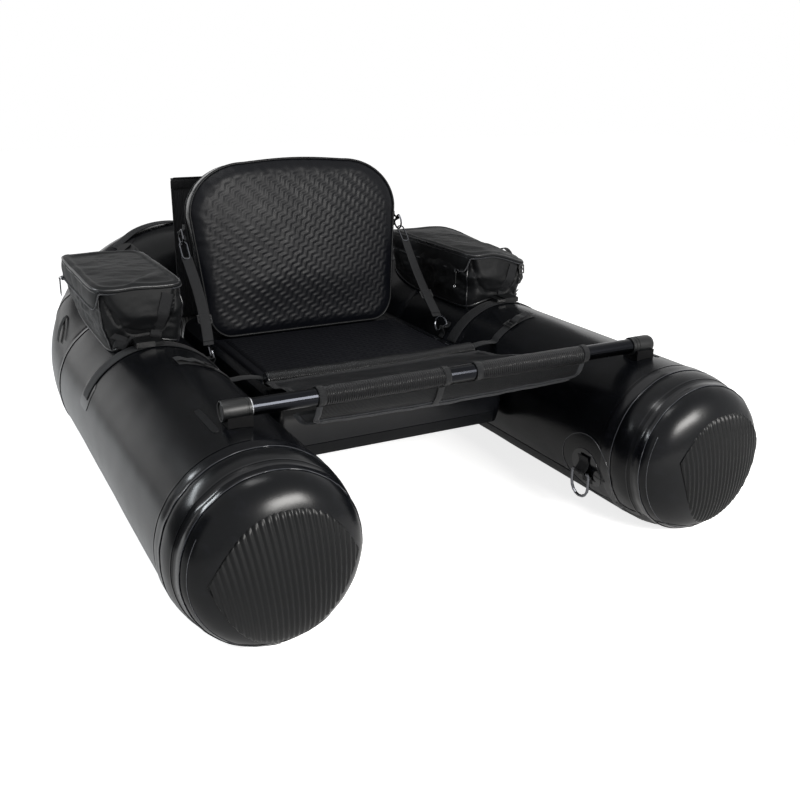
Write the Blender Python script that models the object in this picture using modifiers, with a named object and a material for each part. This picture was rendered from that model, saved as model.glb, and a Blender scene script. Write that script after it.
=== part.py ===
"""Float tube: an inflatable U-shaped hull with a seat slab, a folding backrest, a cross bar that
carries the stripping apron, and a side bag on each pontoon.

Metres, +Z up. The open front of the U faces -Y and the seated angler's left hand is at +X.
The origin is under the middle of the box, on the ground."""
import math

import bmesh
import bpy
from mathutils import Matrix, Vector

SHARP_DEG = 35.0

# Fits
CLEAR = 0.0003
OVERRUN = 0.05
WELD = 0.00001

# Hull
TUBE_RADIUS = 0.158
TUBE_SPACING = 0.432
SKIN = 0.0010
TUBE_SIDES = 40
PONTOON_STRAIGHT = 0.90
CONE_LENGTH = 0.058
CONE_RADIUS_SHARE = 0.937
DOME_LENGTH = 0.068
DOME_POWER = 2.3
DOME_STEPS = 7
STERN_HALF = 0.180
STERN_RISE = 0.145
STERN_SETBACK = 1.275
BEND_START_REACH = 0.280
BEND_END_REACH = 0.180
BEND_STEPS = 9
BEND_SAMPLE_SHARE = 0.001

# Wear patches on the noses
PATCH_THICKNESS = 0.0022
PATCH_RADIUS = 0.121
PATCH_TILT_DEG = 12.0
PATCH_DROP = 0.017

# Valves
VALVE_SHARE = 0.68
VALVE_LEAN_DEG = -16.0
VALVE_NECK_RADIUS = 0.0190
VALVE_NECK_DEPTH = 0.022
VALVE_BORE_RADIUS = 0.0150
VALVE_FLANGE_RADIUS = 0.0300
VALVE_FLANGE_HEIGHT = 0.0030
VALVE_COLLAR_RADIUS = 0.0230
VALVE_COLLAR_HEIGHT = 0.0070
VALVE_CAP_HEIGHT = 0.0085
VALVE_CAP_LUG_LENGTH = 0.0320
VALVE_CAP_LUG_WIDTH = 0.0060
VALVE_CAP_LUG_HEIGHT = 0.0050
VALVE_SIDES = 24

# Webbing, and the carry handles on the stern
WEB_THICKNESS = 0.0018
WEB_WIDTH = 0.038
HANDLE_LENGTH = 0.095
HANDLE_ARCH = 0.024
HANDLE_SEAT_GAP = 0.0006
HANDLE_SHARE = 0.885
HANDLE_STEPS = 12
HANDLE_FOOT_SHARE = 0.18

# D-rings and the webbing loops that hold them
RING_WIDTH = 0.034
RING_DEPTH = 0.030
RING_WIRE = 0.0022
RING_CORNER = 0.006
LOOP_WIDTH = 0.018
LOOP_STANDOFF = 0.0110
FRONT_RING_WIDTH = 0.050
FRONT_RING_DEPTH = 0.052
FRONT_RING_WIRE = 0.0030
FRONT_LOOP_WIDTH = 0.030
FRONT_LOOP_STANDOFF = 0.0150
FRONT_RING_SETBACK = 0.068
FRONT_RING_ANGLE_DEG = 107.0

# Seat slab and its pad
SLAB_FRONT_SETBACK = 0.350
SLAB_LIFT = 0.0215
SLAB_THICKNESS = 0.123
SLAB_FRONT_CORNER = 0.030
SLAB_REAR_CORNER = 0.230
SLAB_EDGE = 0.022
PAD_SIDE_GAP = 0.034
PAD_THICKNESS = 0.014
PAD_CORNER = 0.040
PAD_EDGE = 0.006
PAD_CROWN = 0.0023
PAD_BACK_GAP = 0.010
PAD_FRONT_GAP = 0.016

# Backrest
BACKREST_SETBACK = 0.835
BACKREST_HEIGHT = 0.410
BACKREST_DEPTH = 0.066
BACKREST_TOP_CORNER = 0.130
BACKREST_FOOT_CORNER = 0.060
BACKREST_LEAN_DEG = 7.0
BACKREST_EDGE = 0.0275
BACKREST_CROWN = 0.010
RING_TAB_HEIGHT = 0.252
CORNER_STEPS = 6

# How a crowned pad draws in: shares of its edge's quarter turn, then (inset, rise) of its faces
EDGE_TURN_SHARES = (0.0, 0.4, 0.75, 1.0)
CROWN_SHARES = ((0.05, 0.55), (0.14, 0.88), (0.27, 1.0))
CORNER_LEAST_SHARE = 0.25

# Backrest straps
STRAP_WIDTH = 0.025
ANCHOR_SETBACK = 0.665
ANCHOR_ANGLE_DEG = 55.0
HOOK_LENGTH = 0.048
HOOK_HALF_WIDTH = 0.0085
HOOK_WIRE = 0.0019

# Cross bar
BAR_SETBACK = 0.106
BAR_RADIUS = 0.0150
BAR_WALL = 0.0020
BAR_OVERHANG = 0.014
CAP_LENGTH = 0.054
CAP_WALL = 0.0026
CAP_END = 0.0040
SADDLE_LENGTH = 0.042
SADDLE_WIDTH = 0.042
SADDLE_THICKNESS = 0.0060
SADDLE_FOOT_SHARE = 0.125
SADDLE_CHEEK_SHARE = 0.35

# Stripping apron
SLEEVE_WALL = 0.0024
SLEEVE_OVERLAP = 0.011
SLEEVE_WINDOW = 0.0275
ROLL_SETBACK = 0.455
ROLL_RADIUS = 0.019
ROLL_END_GAP = 0.022
APRON_THICKNESS = 0.0022
APRON_SAG = 0.014
LIP_SETBACK = 0.135
LIP_DROP = 0.082
LIP_BACK = 0.062
APRON_STRAP_SETBACK = 0.470
APRON_STRAP_TOP_DEG = 6.0
APRON_STRAP_FOOT_DEG = 49.0

# Side bags
BAG_OUTSET = 0.002
BAG_WIDTH_SHARE = 1.253
BAG_SETBACK = 0.640
BAG_VALVE_GAP = 0.082
BAG_SINK = 0.050
BAG_HEIGHT = 0.151
BAG_WALL = 0.0040
BAG_CORNER = 0.022
LID_THICKNESS = 0.0050
LID_CROWN = 0.020
LID_SHOULDER_RISE_SHARE = 0.62
LID_SHOULDER_INSET_SHARE = 0.16
LID_TOP_INSET_SHARE = 0.42
ZIP_LENGTH = 0.012
ZIP_HEIGHT = 0.008
ZIP_THICKNESS = 0.0036
ZIP_TAB_LENGTH = 0.030
ZIP_TAB_WIDTH = 0.006
ZIP_DROP = 0.016
ZIP_INSET = 0.045

# Hold-down straps and their side-release buckles
HOLD_GAP = 0.004
HOLD_INNER_DEG = 62.0
HOLD_OUTER_DEG = 66.0
BUCKLE_HALF_WIDTH = 0.0210
BUCKLE_HEIGHT = 0.0110
BUCKLE_WALL = 0.0022
BUCKLE_TAPER_SHARE = 0.8
SOCKET_LENGTH = 0.038
PLUG_HEAD = 0.020
PRONG_WIDTH = 0.0060
PRONG_LENGTH = 0.026

# Storage panel that stands against the stern tube
PANEL_SIDE_GAP = 0.026
PANEL_STANDOFF = 0.019
PANEL_THICKNESS = 0.008
PANEL_HEIGHT = 0.358
PANEL_EDGE = 0.003

BAND_STEP_DEG = 6.0

NOSE_LENGTH = CONE_LENGTH + DOME_LENGTH + PATCH_THICKNESS
RING_A_Y = (NOSE_LENGTH - STERN_SETBACK - TUBE_RADIUS) / 2
CREST = 2 * TUBE_RADIUS
SEAT_HALF = TUBE_SPACING - TUBE_RADIUS
CONE_RADIUS = TUBE_RADIUS * CONE_RADIUS_SHARE
SLAB_TOP = TUBE_RADIUS + SLAB_LIFT + SLAB_THICKNESS / 2
SLAB_BOTTOM = SLAB_TOP - SLAB_THICKNESS
PAD_WIDTH = 2 * (SEAT_HALF - PAD_SIDE_GAP)
BACKREST_WIDTH = 2 * SEAT_HALF
PANEL_HALF = SEAT_HALF - PANEL_SIDE_GAP
BAR_HALF = TUBE_SPACING + BAR_OVERHANG
SLEEVE_END = SEAT_HALF + SLEEVE_OVERLAP
ROLL_HALF = SEAT_HALF - ROLL_END_GAP
PAD_LENGTH = BACKREST_SETBACK - PAD_BACK_GAP - ROLL_SETBACK - ROLL_RADIUS - PAD_FRONT_GAP
BAG_X = TUBE_SPACING + BAG_OUTSET
BAG_WIDTH = TUBE_RADIUS * BAG_WIDTH_SHARE
BAG_BOTTOM = CREST - BAG_SINK
BAG_RIM = BAG_BOTTOM + BAG_HEIGHT
UP = Vector((0, 0, 1))
ACROSS = Vector((1, 0, 0))
AFT = Vector((0, 1, 0))
SIDES = (("left", -1), ("right", 1))

COLOURS = {
    "pvc": ((0.020, 0.021, 0.024), 0.38, 0.0),
    "rubber": ((0.018, 0.018, 0.019), 0.60, 0.0),
    "embossed_eva": ((0.030, 0.030, 0.032), 0.50, 0.0),
    "mesh_vinyl": ((0.045, 0.045, 0.045), 0.65, 0.0),
    "webbing": ((0.022, 0.022, 0.023), 0.80, 0.0),
    "bag_cloth": ((0.025, 0.025, 0.026), 0.75, 0.0),
    "moulded_plastic": ((0.016, 0.016, 0.017), 0.45, 0.0),
    "anodised_aluminium": ((0.040, 0.040, 0.042), 0.28, 1.0),
    "steel": ((0.110, 0.110, 0.115), 0.30, 1.0),
}


def aft(setback):
    """The Y of a place that lies this far behind the front seam ring of the pontoons."""
    return RING_A_Y + setback


def start():
    for old in list(bpy.data.objects):
        bpy.data.objects.remove(old, do_unlink=True)
    made = []
    for name in ("float_tube", "cutters"):
        group = bpy.data.collections.new(name)
        bpy.context.scene.collection.children.link(group)
        made.append(group)
    return made


PARTS, CUTTERS = start()


def make_materials():
    made = {}
    for name, (colour, roughness, metallic) in COLOURS.items():
        material = bpy.data.materials.new(name)
        material.use_nodes = True
        shader = material.node_tree.nodes["Principled BSDF"]
        shader.inputs["Base Color"].default_value = (*colour, 1)
        shader.inputs["Roughness"].default_value = roughness
        shader.inputs["Metallic"].default_value = metallic
        made[name] = material
    return made


MATERIALS = make_materials()


def put(name, bm, material, place=None, group=PARTS):
    """Makes a named object from a bmesh, with its faces pointing out."""
    bmesh.ops.recalc_face_normals(bm, faces=bm.faces)
    mesh = bpy.data.meshes.new(name)
    bm.to_mesh(mesh)
    bm.free()
    obj = bpy.data.objects.new(name, mesh)
    group.objects.link(obj)
    obj.matrix_world = place or Matrix()
    if group is PARTS:
        mesh.materials.append(MATERIALS[material])
    return obj


def shade_round(obj):
    """Smooth shading that keeps the true edges sharp."""
    for polygon in obj.data.polygons:
        polygon.use_smooth = True
    obj.data.set_sharp_from_angle(angle=math.radians(SHARP_DEG))
    return obj


def as_cutter(obj):
    obj.hide_render = True
    obj.display_type = "WIRE"
    return obj


def boolean(obj, cutter, operation="DIFFERENCE"):
    modifier = obj.modifiers.new("cut", "BOOLEAN")
    modifier.operation = operation
    modifier.solver = "EXACT"
    modifier.object = cutter


def soften(obj, width, segments=2, angle_deg=40):
    modifier = obj.modifiers.new("edges", "BEVEL")
    modifier.width = width
    modifier.segments = segments
    modifier.limit_method = "ANGLE"
    modifier.angle_limit = math.radians(angle_deg)


def thicken(obj, thickness, offset=0):
    modifier = obj.modifiers.new("wall", "SOLIDIFY")
    modifier.thickness = thickness
    modifier.offset = offset
    modifier.use_even_offset = True


def as_mesh(obj, name, material):
    """Replaces an object by the mesh that its curve or modifiers give."""
    bpy.context.view_layer.update()
    graph = bpy.context.evaluated_depsgraph_get()
    mesh = bpy.data.meshes.new_from_object(obj.evaluated_get(graph), depsgraph=graph)
    place = obj.matrix_world.copy()
    bpy.data.objects.remove(obj, do_unlink=True)
    bm = bmesh.new()
    bm.from_mesh(mesh)
    bpy.data.meshes.remove(mesh)
    bmesh.ops.remove_doubles(bm, verts=bm.verts, dist=WELD)
    return put(name, bm, material, place)


def set_origin(obj, point):
    """Moves an object's origin to its joint's axis and leaves its surface where it is."""
    obj.data.transform(Matrix.Translation(-Vector(point)) @ obj.matrix_world)
    obj.matrix_world = Matrix.Translation(point)
    return obj


def axes_to_matrix(x_axis, y_axis, z_axis, origin):
    columns = Matrix((x_axis, y_axis, z_axis)).transposed().to_4x4()
    return Matrix.Translation(origin) @ columns


def frame_on(normal, along, origin):
    """A frame whose Z is the normal and whose X lies as near as may be to a direction."""
    z_axis = Vector(normal).normalized()
    y_axis = z_axis.cross(Vector(along)).normalized()
    return axes_to_matrix(y_axis.cross(z_axis), y_axis, z_axis, origin)


def box(name, low, high, material, group=PARTS):
    bm = bmesh.new()
    bmesh.ops.create_cube(bm, size=1)
    low, high = Vector(low), Vector(high)
    bmesh.ops.scale(bm, vec=high - low, verts=bm.verts)
    return put(name, bm, material, Matrix.Translation((low + high) / 2), group)


def cylinder(name, radius, length, place, material, sides, group=PARTS, cap_ends=True):
    """A cylinder along its own Z, from 0 to its length."""
    bm = bmesh.new()
    bmesh.ops.create_cone(
        bm, cap_ends=cap_ends, segments=sides, radius1=radius, radius2=radius, depth=length
    )
    bmesh.ops.translate(bm, vec=UP * (length / 2), verts=bm.verts)
    return put(name, bm, material, place, group)


def turned(name, profile, place, material, sides):
    """Turns a closed profile of (radius, height) points about its own Z."""
    bm = bmesh.new()
    verts = [bm.verts.new((radius, 0, height)) for radius, height in profile]
    for first, second in zip(verts, verts[1:] + verts[:1]):
        if first.co.x > 0 or second.co.x > 0:
            bm.edges.new((first, second))
    obj = put(name, bm, material, place)
    modifier = obj.modifiers.new("turn", "SCREW")
    modifier.steps = sides
    modifier.render_steps = sides
    modifier.use_merge_vertices = True
    modifier.merge_threshold = WELD
    return as_mesh(obj, name, material)


def wire(name, points, radius, material, cyclic=False, resolution=1):
    curve = bpy.data.curves.new(name, "CURVE")
    curve.dimensions = "3D"
    curve.bevel_depth = radius
    curve.bevel_resolution = resolution
    curve.use_fill_caps = not cyclic
    spline = curve.splines.new("POLY")
    spline.points.add(len(points) - 1)
    for slot, point in zip(spline.points, points):
        slot.co = (*point, 1)
    spline.use_cyclic_u = cyclic
    obj = bpy.data.objects.new(name, curve)
    PARTS.objects.link(obj)
    curve.materials.append(MATERIALS[material])
    return obj


def extruded(name, outlines, thickness, place, material):
    """Extrudes flat closed outlines, the later ones as holes, by a thickness about their plane."""
    curve = bpy.data.curves.new(name, "CURVE")
    curve.dimensions = "2D"
    curve.fill_mode = "BOTH"
    curve.extrude = thickness / 2
    for outline in outlines:
        spline = curve.splines.new("POLY")
        spline.points.add(len(outline) - 1)
        for slot, (x, y) in zip(spline.points, outline):
            slot.co = (x, y, 0, 1)
        spline.use_cyclic_u = True
    obj = bpy.data.objects.new(name, curve)
    PARTS.objects.link(obj)
    obj.matrix_world = place
    return as_mesh(obj, name, material)


def sheet(name, columns, rows, place, thickness, material):
    """A thin sheet of even thickness: a grid whose points place(u, v) sets, u and v from 0 to 1."""
    bm = bmesh.new()
    bmesh.ops.create_grid(bm, x_segments=columns, y_segments=rows, size=1)
    for vert in bm.verts:
        vert.co = place((vert.co.x + 1) / 2, (vert.co.y + 1) / 2)
    obj = put(name, bm, material)
    thicken(obj, thickness)
    return obj


def ribbon(name, path, width_axis, width, thickness, material):
    """A flat strap along a path of points, its width along an axis."""
    side = Vector(width_axis).normalized() * (width / 2)

    def place(u, v):
        return Vector(path[round(u * (len(path) - 1))]) + side * (2 * v - 1)

    return sheet(name, len(path) - 1, 1, place, thickness, material)


def rounded_outline(width, height, corners, steps, inset=0.0):
    """A rectangle about the origin with a radius for each corner, from the top right, leftwards."""
    points = []
    signs = ((1, 1), (-1, 1), (-1, -1), (1, -1))
    for index, ((sign_x, sign_y), corner) in enumerate(zip(signs, corners)):
        radius = max(corner - inset, corner * CORNER_LEAST_SHARE)
        centre_x = sign_x * (width / 2 - inset - radius)
        centre_y = sign_y * (height / 2 - inset - radius)
        for step in range(steps + 1):
            angle = math.pi / 2 * (index + step / steps)
            points.append((centre_x + radius * math.cos(angle), centre_y + radius * math.sin(angle)))
    return points


def cushion(name, size, corners, edge, crown, place, material, steps=CORNER_STEPS):
    """A crowned pad: rounded outlines that draw in towards both faces, lofted along its own Z."""
    width, height, depth = size
    layers = []
    for share in EDGE_TURN_SHARES:
        angle = share * math.pi / 2
        layers.append((edge * (1 - math.cos(angle)), (depth / 2 - crown) * math.sin(angle)))
    layers += [(edge + min(width, height) * inset_share, depth / 2 - crown * (1 - rise_share))
               for inset_share, rise_share in CROWN_SHARES]
    bm = bmesh.new()
    rings = []
    for inset, level in [(i, -d) for i, d in reversed(layers[1:])] + layers:
        outline = rounded_outline(width, height, corners, steps, inset)
        rings.append([bm.verts.new((x, y, level)) for x, y in outline])
    for lower, upper in zip(rings, rings[1:]):
        for index in range(len(lower)):
            after = (index + 1) % len(lower)
            bm.faces.new((lower[index], lower[after], upper[after], upper[index]))
    bm.faces.new(rings[0])
    bm.faces.new(rings[-1])
    return put(name, bm, material, place)


# Hull

def dome_profile(offset):
    """Radius and distance ahead of seam ring A, from that ring to the tip, with an even offset."""
    points = [(TUBE_RADIUS + offset, 0.0), (CONE_RADIUS + offset, CONE_LENGTH)]
    for step in range(1, DOME_STEPS + 1):
        angle = math.pi / 2 * step / DOME_STEPS
        radius = (CONE_RADIUS + offset) * math.cos(angle) ** (2 / DOME_POWER)
        ahead = (DOME_LENGTH + offset) * math.sin(angle) ** (2 / DOME_POWER)
        points.append((radius if step < DOME_STEPS else 0.0, CONE_LENGTH + ahead))
    return points


def nose_frame(side):
    """Z points forward from seam ring A of this pontoon."""
    return frame_on(-AFT, ACROSS, (side * TUBE_SPACING, RING_A_Y, TUBE_RADIUS))


def shell_profile(outer_offset, inner_offset):
    outer = dome_profile(outer_offset)
    inner = dome_profile(inner_offset)
    return outer[::-1] + inner


def make_nose(name, side):
    turned(name, shell_profile(-CLEAR, -CLEAR - SKIN), nose_frame(side), "pvc", TUBE_SIDES)


def make_wear_patch(name, side):
    patch = turned(name, shell_profile(PATCH_THICKNESS, 0.0), nose_frame(side), "rubber", TUBE_SIDES)
    tilt = math.radians(PATCH_TILT_DEG)
    forward = Vector((0, -math.cos(tilt), -math.sin(tilt)))
    centre = Vector((side * TUBE_SPACING, RING_A_Y - CONE_LENGTH, TUBE_RADIUS - PATCH_DROP))
    reach = DOME_LENGTH + TUBE_RADIUS
    cutter = cylinder(name + "_outline", PATCH_RADIUS, reach, frame_on(forward, ACROSS, centre),
                      "rubber", TUBE_SIDES, CUTTERS)
    boolean(patch, as_cutter(cutter), "INTERSECT")


def make_pontoon(name, side):
    ends = (RING_A_Y + CLEAR / 2, aft(PONTOON_STRAIGHT) - CLEAR / 2)
    make_tube_skin(name, [(Vector((side * TUBE_SPACING, y, TUBE_RADIUS)), AFT, UP) for y in ends])


def bend_point(side, share):
    """The stern bend's centre line, from the pontoon's end at 0 to the stern tube at 1."""
    start_point = Vector((side * TUBE_SPACING, aft(PONTOON_STRAIGHT), TUBE_RADIUS))
    end_point = Vector((side * STERN_HALF, aft(STERN_SETBACK), TUBE_RADIUS + STERN_RISE))
    first = start_point + AFT * BEND_START_REACH
    second = end_point + ACROSS * side * BEND_END_REACH
    rest = 1 - share
    return (start_point * rest ** 3 + first * 3 * rest ** 2 * share
            + second * 3 * rest * share ** 2 + end_point * share ** 3)


def bend_frame(side, share):
    """The bend's centre, its direction towards the stern, and its upward normal."""
    before, after = max(share - BEND_SAMPLE_SHARE, 0), min(share + BEND_SAMPLE_SHARE, 1)
    ahead = bend_point(side, after) - bend_point(side, before)
    tangent = ahead.normalized()
    up = (UP - tangent * UP.dot(tangent)).normalized()
    return bend_point(side, share), tangent, up


def bend_crest(side, share):
    """A point on the crest of the bend's facets, with the normal and the sideways axis there."""
    place = share * BEND_STEPS
    step = min(int(place), BEND_STEPS - 1)
    ends = []
    for index in (step, step + 1):
        centre, tangent, up = bend_frame(side, index / BEND_STEPS)
        ends.append((centre + up * TUBE_RADIUS, up, tangent.cross(up)))
    point, normal, right = (first.lerp(last, place - step) for first, last in zip(*ends))
    return point, normal.normalized(), right.normalized()


def rolled_mesh(rings, outside_rows):
    """A grid rolled round one ring after another, each a (centre, tangent, up) frame and a radius.

    Rows past the outside ones run back along the inside. Their quads split along the other
    diagonal, so that the facets of both skins lie alike."""
    bm = bmesh.new()
    rows = len(rings) - 1
    bmesh.ops.create_grid(bm, x_segments=TUBE_SIDES, y_segments=rows, size=1)
    halves = ([], [])
    for face in bm.faces:
        row = (face.calc_center_median().y + 1) / 2 * rows
        halves[row > outside_rows].append(face)
    bmesh.ops.triangulate(bm, faces=halves[0], quad_method="FIXED")
    bmesh.ops.triangulate(bm, faces=halves[1], quad_method="ALTERNATE")
    for vert in bm.verts:
        (centre, tangent, up), radius = rings[round((vert.co.y + 1) / 2 * rows)]
        angle = math.pi * (vert.co.x + 1)
        vert.co = centre + (tangent.cross(up) * math.cos(angle) + up * math.sin(angle)) * radius
    bmesh.ops.remove_doubles(bm, verts=bm.verts, dist=WELD)
    return bm


def make_tube_skin(name, frames):
    """A tube of the hull's skin, open at both ends: out along its outside and back along its inside."""
    outside = [(frame, TUBE_RADIUS) for frame in frames]
    inside = [(frame, TUBE_RADIUS - SKIN) for frame in reversed(frames)]
    return put(name, rolled_mesh(outside + inside + outside[:1], len(frames) - 1), "pvc")


def bend_frames(side, gap):
    """Frames along the bend, the first and last drawn in by a gap."""
    frames = [bend_frame(side, step / BEND_STEPS) for step in range(BEND_STEPS + 1)]
    frames[0] = (bend_point(side, 0) + AFT * gap, AFT, UP)
    frames[-1] = (bend_point(side, 1) + ACROSS * side * gap, -ACROSS * side, UP)
    return frames


def hull_cutter(name, side, offset=CLEAR):
    """The pontoon and its bend as one closed solid, an offset outside their facets."""
    nose_end = Vector((side * TUBE_SPACING, RING_A_Y, TUBE_RADIUS))
    frames = [(nose_end, AFT, UP)] + bend_frames(side, 0)
    radius = (TUBE_RADIUS + offset) / math.cos(math.pi / TUBE_SIDES)
    bm = rolled_mesh([(frame, radius) for frame in frames], len(frames))
    bmesh.ops.holes_fill(bm, edges=[edge for edge in bm.edges if edge.is_boundary])
    return as_cutter(put(name, bm, "pvc", group=CUTTERS))


def make_bend(name, side):
    bend = make_tube_skin(name, bend_frames(side, CLEAR / 2))
    cutter = cylinder(name + "_valve_hole", VALVE_NECK_RADIUS + CLEAR, 2 * OVERRUN,
                      valve_frame(side) @ Matrix.Translation(-UP * OVERRUN), "pvc", VALVE_SIDES, CUTTERS)
    boolean(bend, as_cutter(cutter))


def make_stern_tube(name):
    middle = Vector((0, aft(STERN_SETBACK), TUBE_RADIUS + STERN_RISE))
    half = ACROSS * (STERN_HALF - CLEAR / 2)
    make_tube_skin(name, [(middle - half, ACROSS, UP), (middle + half, ACROSS, UP)])


# Valves

def valve_frame(side):
    """Z points out of the hull through the middle of the valve, from the skin's surface."""
    centre, tangent, up = bend_frame(side, VALVE_SHARE)
    outward = tangent.cross(up) * side
    lean = math.radians(VALVE_LEAN_DEG)
    normal = up * math.cos(lean) + outward * math.sin(lean)
    return frame_on(normal, tangent, centre + normal * TUBE_RADIUS)


def make_valve_body(name, side):
    profile = [
        (VALVE_COLLAR_RADIUS, VALVE_COLLAR_HEIGHT),
        (VALVE_COLLAR_RADIUS, VALVE_FLANGE_HEIGHT),
        (VALVE_FLANGE_RADIUS, VALVE_FLANGE_HEIGHT),
        (VALVE_FLANGE_RADIUS, CLEAR),
        (VALVE_NECK_RADIUS, CLEAR),
        (VALVE_NECK_RADIUS, -VALVE_NECK_DEPTH),
        (VALVE_BORE_RADIUS, -VALVE_NECK_DEPTH),
        (VALVE_BORE_RADIUS, VALVE_COLLAR_HEIGHT),
    ]
    turned(name, profile, valve_frame(side), "moulded_plastic", VALVE_SIDES)


def make_valve_cap(name, side):
    """A screw cap with a plug below and a bar to grip above."""
    bottom = VALVE_COLLAR_HEIGHT + CLEAR
    plug = VALVE_BORE_RADIUS - CLEAR
    top = bottom + VALVE_CAP_HEIGHT
    profile = [
        (0.0, top), (VALVE_COLLAR_RADIUS, top), (VALVE_COLLAR_RADIUS, bottom),
        (plug, bottom), (plug, bottom - VALVE_COLLAR_HEIGHT), (0.0, bottom - VALVE_COLLAR_HEIGHT),
    ]
    place = valve_frame(side)
    cap = turned(name, profile, place, "moulded_plastic", VALVE_SIDES)
    half = Vector((VALVE_CAP_LUG_LENGTH / 2, VALVE_CAP_LUG_WIDTH / 2, VALVE_CAP_LUG_HEIGHT / 2))
    lug = box(name + "_lug", -half, half, "moulded_plastic", CUTTERS)
    lug.matrix_world = place @ Matrix.Translation(UP * (top + VALVE_CAP_LUG_HEIGHT / 2 - CLEAR))
    boolean(cap, as_cutter(lug), "UNION")


# Carry handles

def make_carry_handle(name, side):
    """A webbing handle that arches over the stern bend between its two sewn feet."""
    chord = bend_point(side, 1) - bend_point(side, 0)
    span = HANDLE_LENGTH / chord.length / 2
    base = HANDLE_SEAT_GAP + WEB_THICKNESS / 2
    path = []
    for step in range(HANDLE_STEPS + 1):
        along = step / HANDLE_STEPS
        point, normal, right = bend_crest(side, HANDLE_SHARE + span * (2 * along - 1))
        inner = (along - HANDLE_FOOT_SHARE) / (1 - 2 * HANDLE_FOOT_SHARE)
        arch = HANDLE_ARCH * math.sin(math.pi * min(max(inner, 0), 1))
        path.append((point + normal * (base + arch), right * (WEB_WIDTH / 2)))

    def place(u, v):
        middle, half_width = path[round(u * HANDLE_STEPS)]
        return middle + half_width * (2 * v - 1)

    sheet(name, HANDLE_STEPS, 1, place, WEB_THICKNESS, "webbing")


# D-rings

def d_outline(width, depth):
    """The D's centre line: its bar lies on Y = 0 and its bow hangs to -Y."""
    half = width / 2
    right, bow = [], []
    for step in range(4):
        angle = math.pi / 2 * step / 3
        right.append((half - RING_CORNER * (1 - math.sin(angle)), -RING_CORNER * (1 - math.cos(angle))))
    for step in range(9):
        angle = math.pi * step / 8
        bow.append((half * math.cos(angle), half - depth - half * math.sin(angle)))
    left = [(-x, y) for x, y in right[::-1]]
    return right + bow + left


def make_ring(name, place, width=RING_WIDTH, depth=RING_DEPTH, thickness=RING_WIRE):
    """A D-ring in the XY plane of a frame, its bar on the frame's X axis."""
    outline = [Vector((x, y, 0)) for x, y in d_outline(width, depth)]
    ring = wire(name, outline, thickness, "steel", cyclic=True)
    ring.matrix_world = place
    return as_mesh(ring, name, "steel")


def stadium(half_length, radius, steps=5):
    points = []
    for centre, first in ((half_length, -math.pi / 2), (-half_length, math.pi / 2)):
        for step in range(steps + 1):
            angle = first + math.pi * step / steps
            points.append((centre + radius * math.cos(angle), radius * math.sin(angle)))
    return points


def make_loop(name, surface, normal, bar_axis, ring_wire=RING_WIRE, width=LOOP_WIDTH,
              standoff=LOOP_STANDOFF):
    """A webbing loop sewn to a surface, with the ring's bar in its eye along bar_axis."""
    outward = Vector(normal).normalized()
    axis = Vector(bar_axis).normalized()
    eye = ring_wire + 2 * CLEAR
    half = (standoff - CLEAR - WEB_THICKNESS - eye) / 2
    centre = Vector(surface) + outward * (standoff - half)
    place = axes_to_matrix(outward, axis.cross(outward), axis, centre)
    outlines = [stadium(half, eye + WEB_THICKNESS), stadium(half, eye)]
    extruded(name, outlines, width, place, "webbing")


def hung_frame(bar_centre, bar_axis, hang):
    """A ring's frame: X along its bar, -Y along the way it hangs."""
    y_axis = -Vector(hang).normalized()
    x_axis = Vector(bar_axis).normalized()
    return axes_to_matrix(x_axis, y_axis, x_axis.cross(y_axis), bar_centre)


def flank(side, setback, angle_deg):
    """A point on the pontoon's surface and its normal; the angle runs inwards from the crest."""
    angle = math.radians(angle_deg)
    normal = Vector((-side * math.sin(angle), 0, math.cos(angle)))
    axis = Vector((side * TUBE_SPACING, aft(setback), TUBE_RADIUS))
    return axis + normal * TUBE_RADIUS, normal


def make_front_ring(word, side):
    surface, normal = flank(side, FRONT_RING_SETBACK, FRONT_RING_ANGLE_DEG)
    make_loop(word + "_front_loop", surface, normal, AFT, FRONT_RING_WIRE, FRONT_LOOP_WIDTH,
              FRONT_LOOP_STANDOFF)
    bar = surface + normal * FRONT_LOOP_STANDOFF
    ring = make_ring(word + "_front_ring", hung_frame(bar, AFT, -UP), FRONT_RING_WIDTH,
                     FRONT_RING_DEPTH, FRONT_RING_WIRE)
    set_origin(ring, bar)


# Seat

def make_slab():
    """The slab reaches from the knees to just past the storage panel that stands on its rear end.

    It fills the width between the pontoons."""
    width = 2 * (SEAT_HALF - CLEAR)
    rear = STERN_SETBACK - TUBE_RADIUS - PANEL_STANDOFF + SLAB_EDGE
    length = rear - SLAB_FRONT_SETBACK
    middle = Vector((0, aft(SLAB_FRONT_SETBACK + length / 2), (SLAB_BOTTOM + SLAB_TOP) / 2))
    corners = (SLAB_REAR_CORNER, SLAB_REAR_CORNER, SLAB_FRONT_CORNER, SLAB_FRONT_CORNER)
    bm = bmesh.new()
    outline = rounded_outline(width, length, corners, CORNER_STEPS)
    half = (SLAB_TOP - SLAB_BOTTOM) / 2
    rings = [[bm.verts.new((x, y, level)) for x, y in outline] for level in (-half, half)]
    for index in range(len(outline)):
        after = (index + 1) % len(outline)
        bm.faces.new((rings[0][index], rings[0][after], rings[1][after], rings[1][index]))
    bm.faces.new(rings[0])
    bm.faces.new(rings[1])
    slab = put("seat_slab", bm, "pvc", Matrix.Translation(middle))
    soften(slab, SLAB_EDGE, 3, 60)
    thicken(slab, SKIN, -1)
    valve = Matrix.Translation(middle - UP * (half + OVERRUN))
    hole = cylinder("seat_valve_hole", VALVE_BORE_RADIUS, 2 * OVERRUN, valve, "pvc", VALVE_SIDES, CUTTERS)
    boolean(slab, as_cutter(hole))


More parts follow.
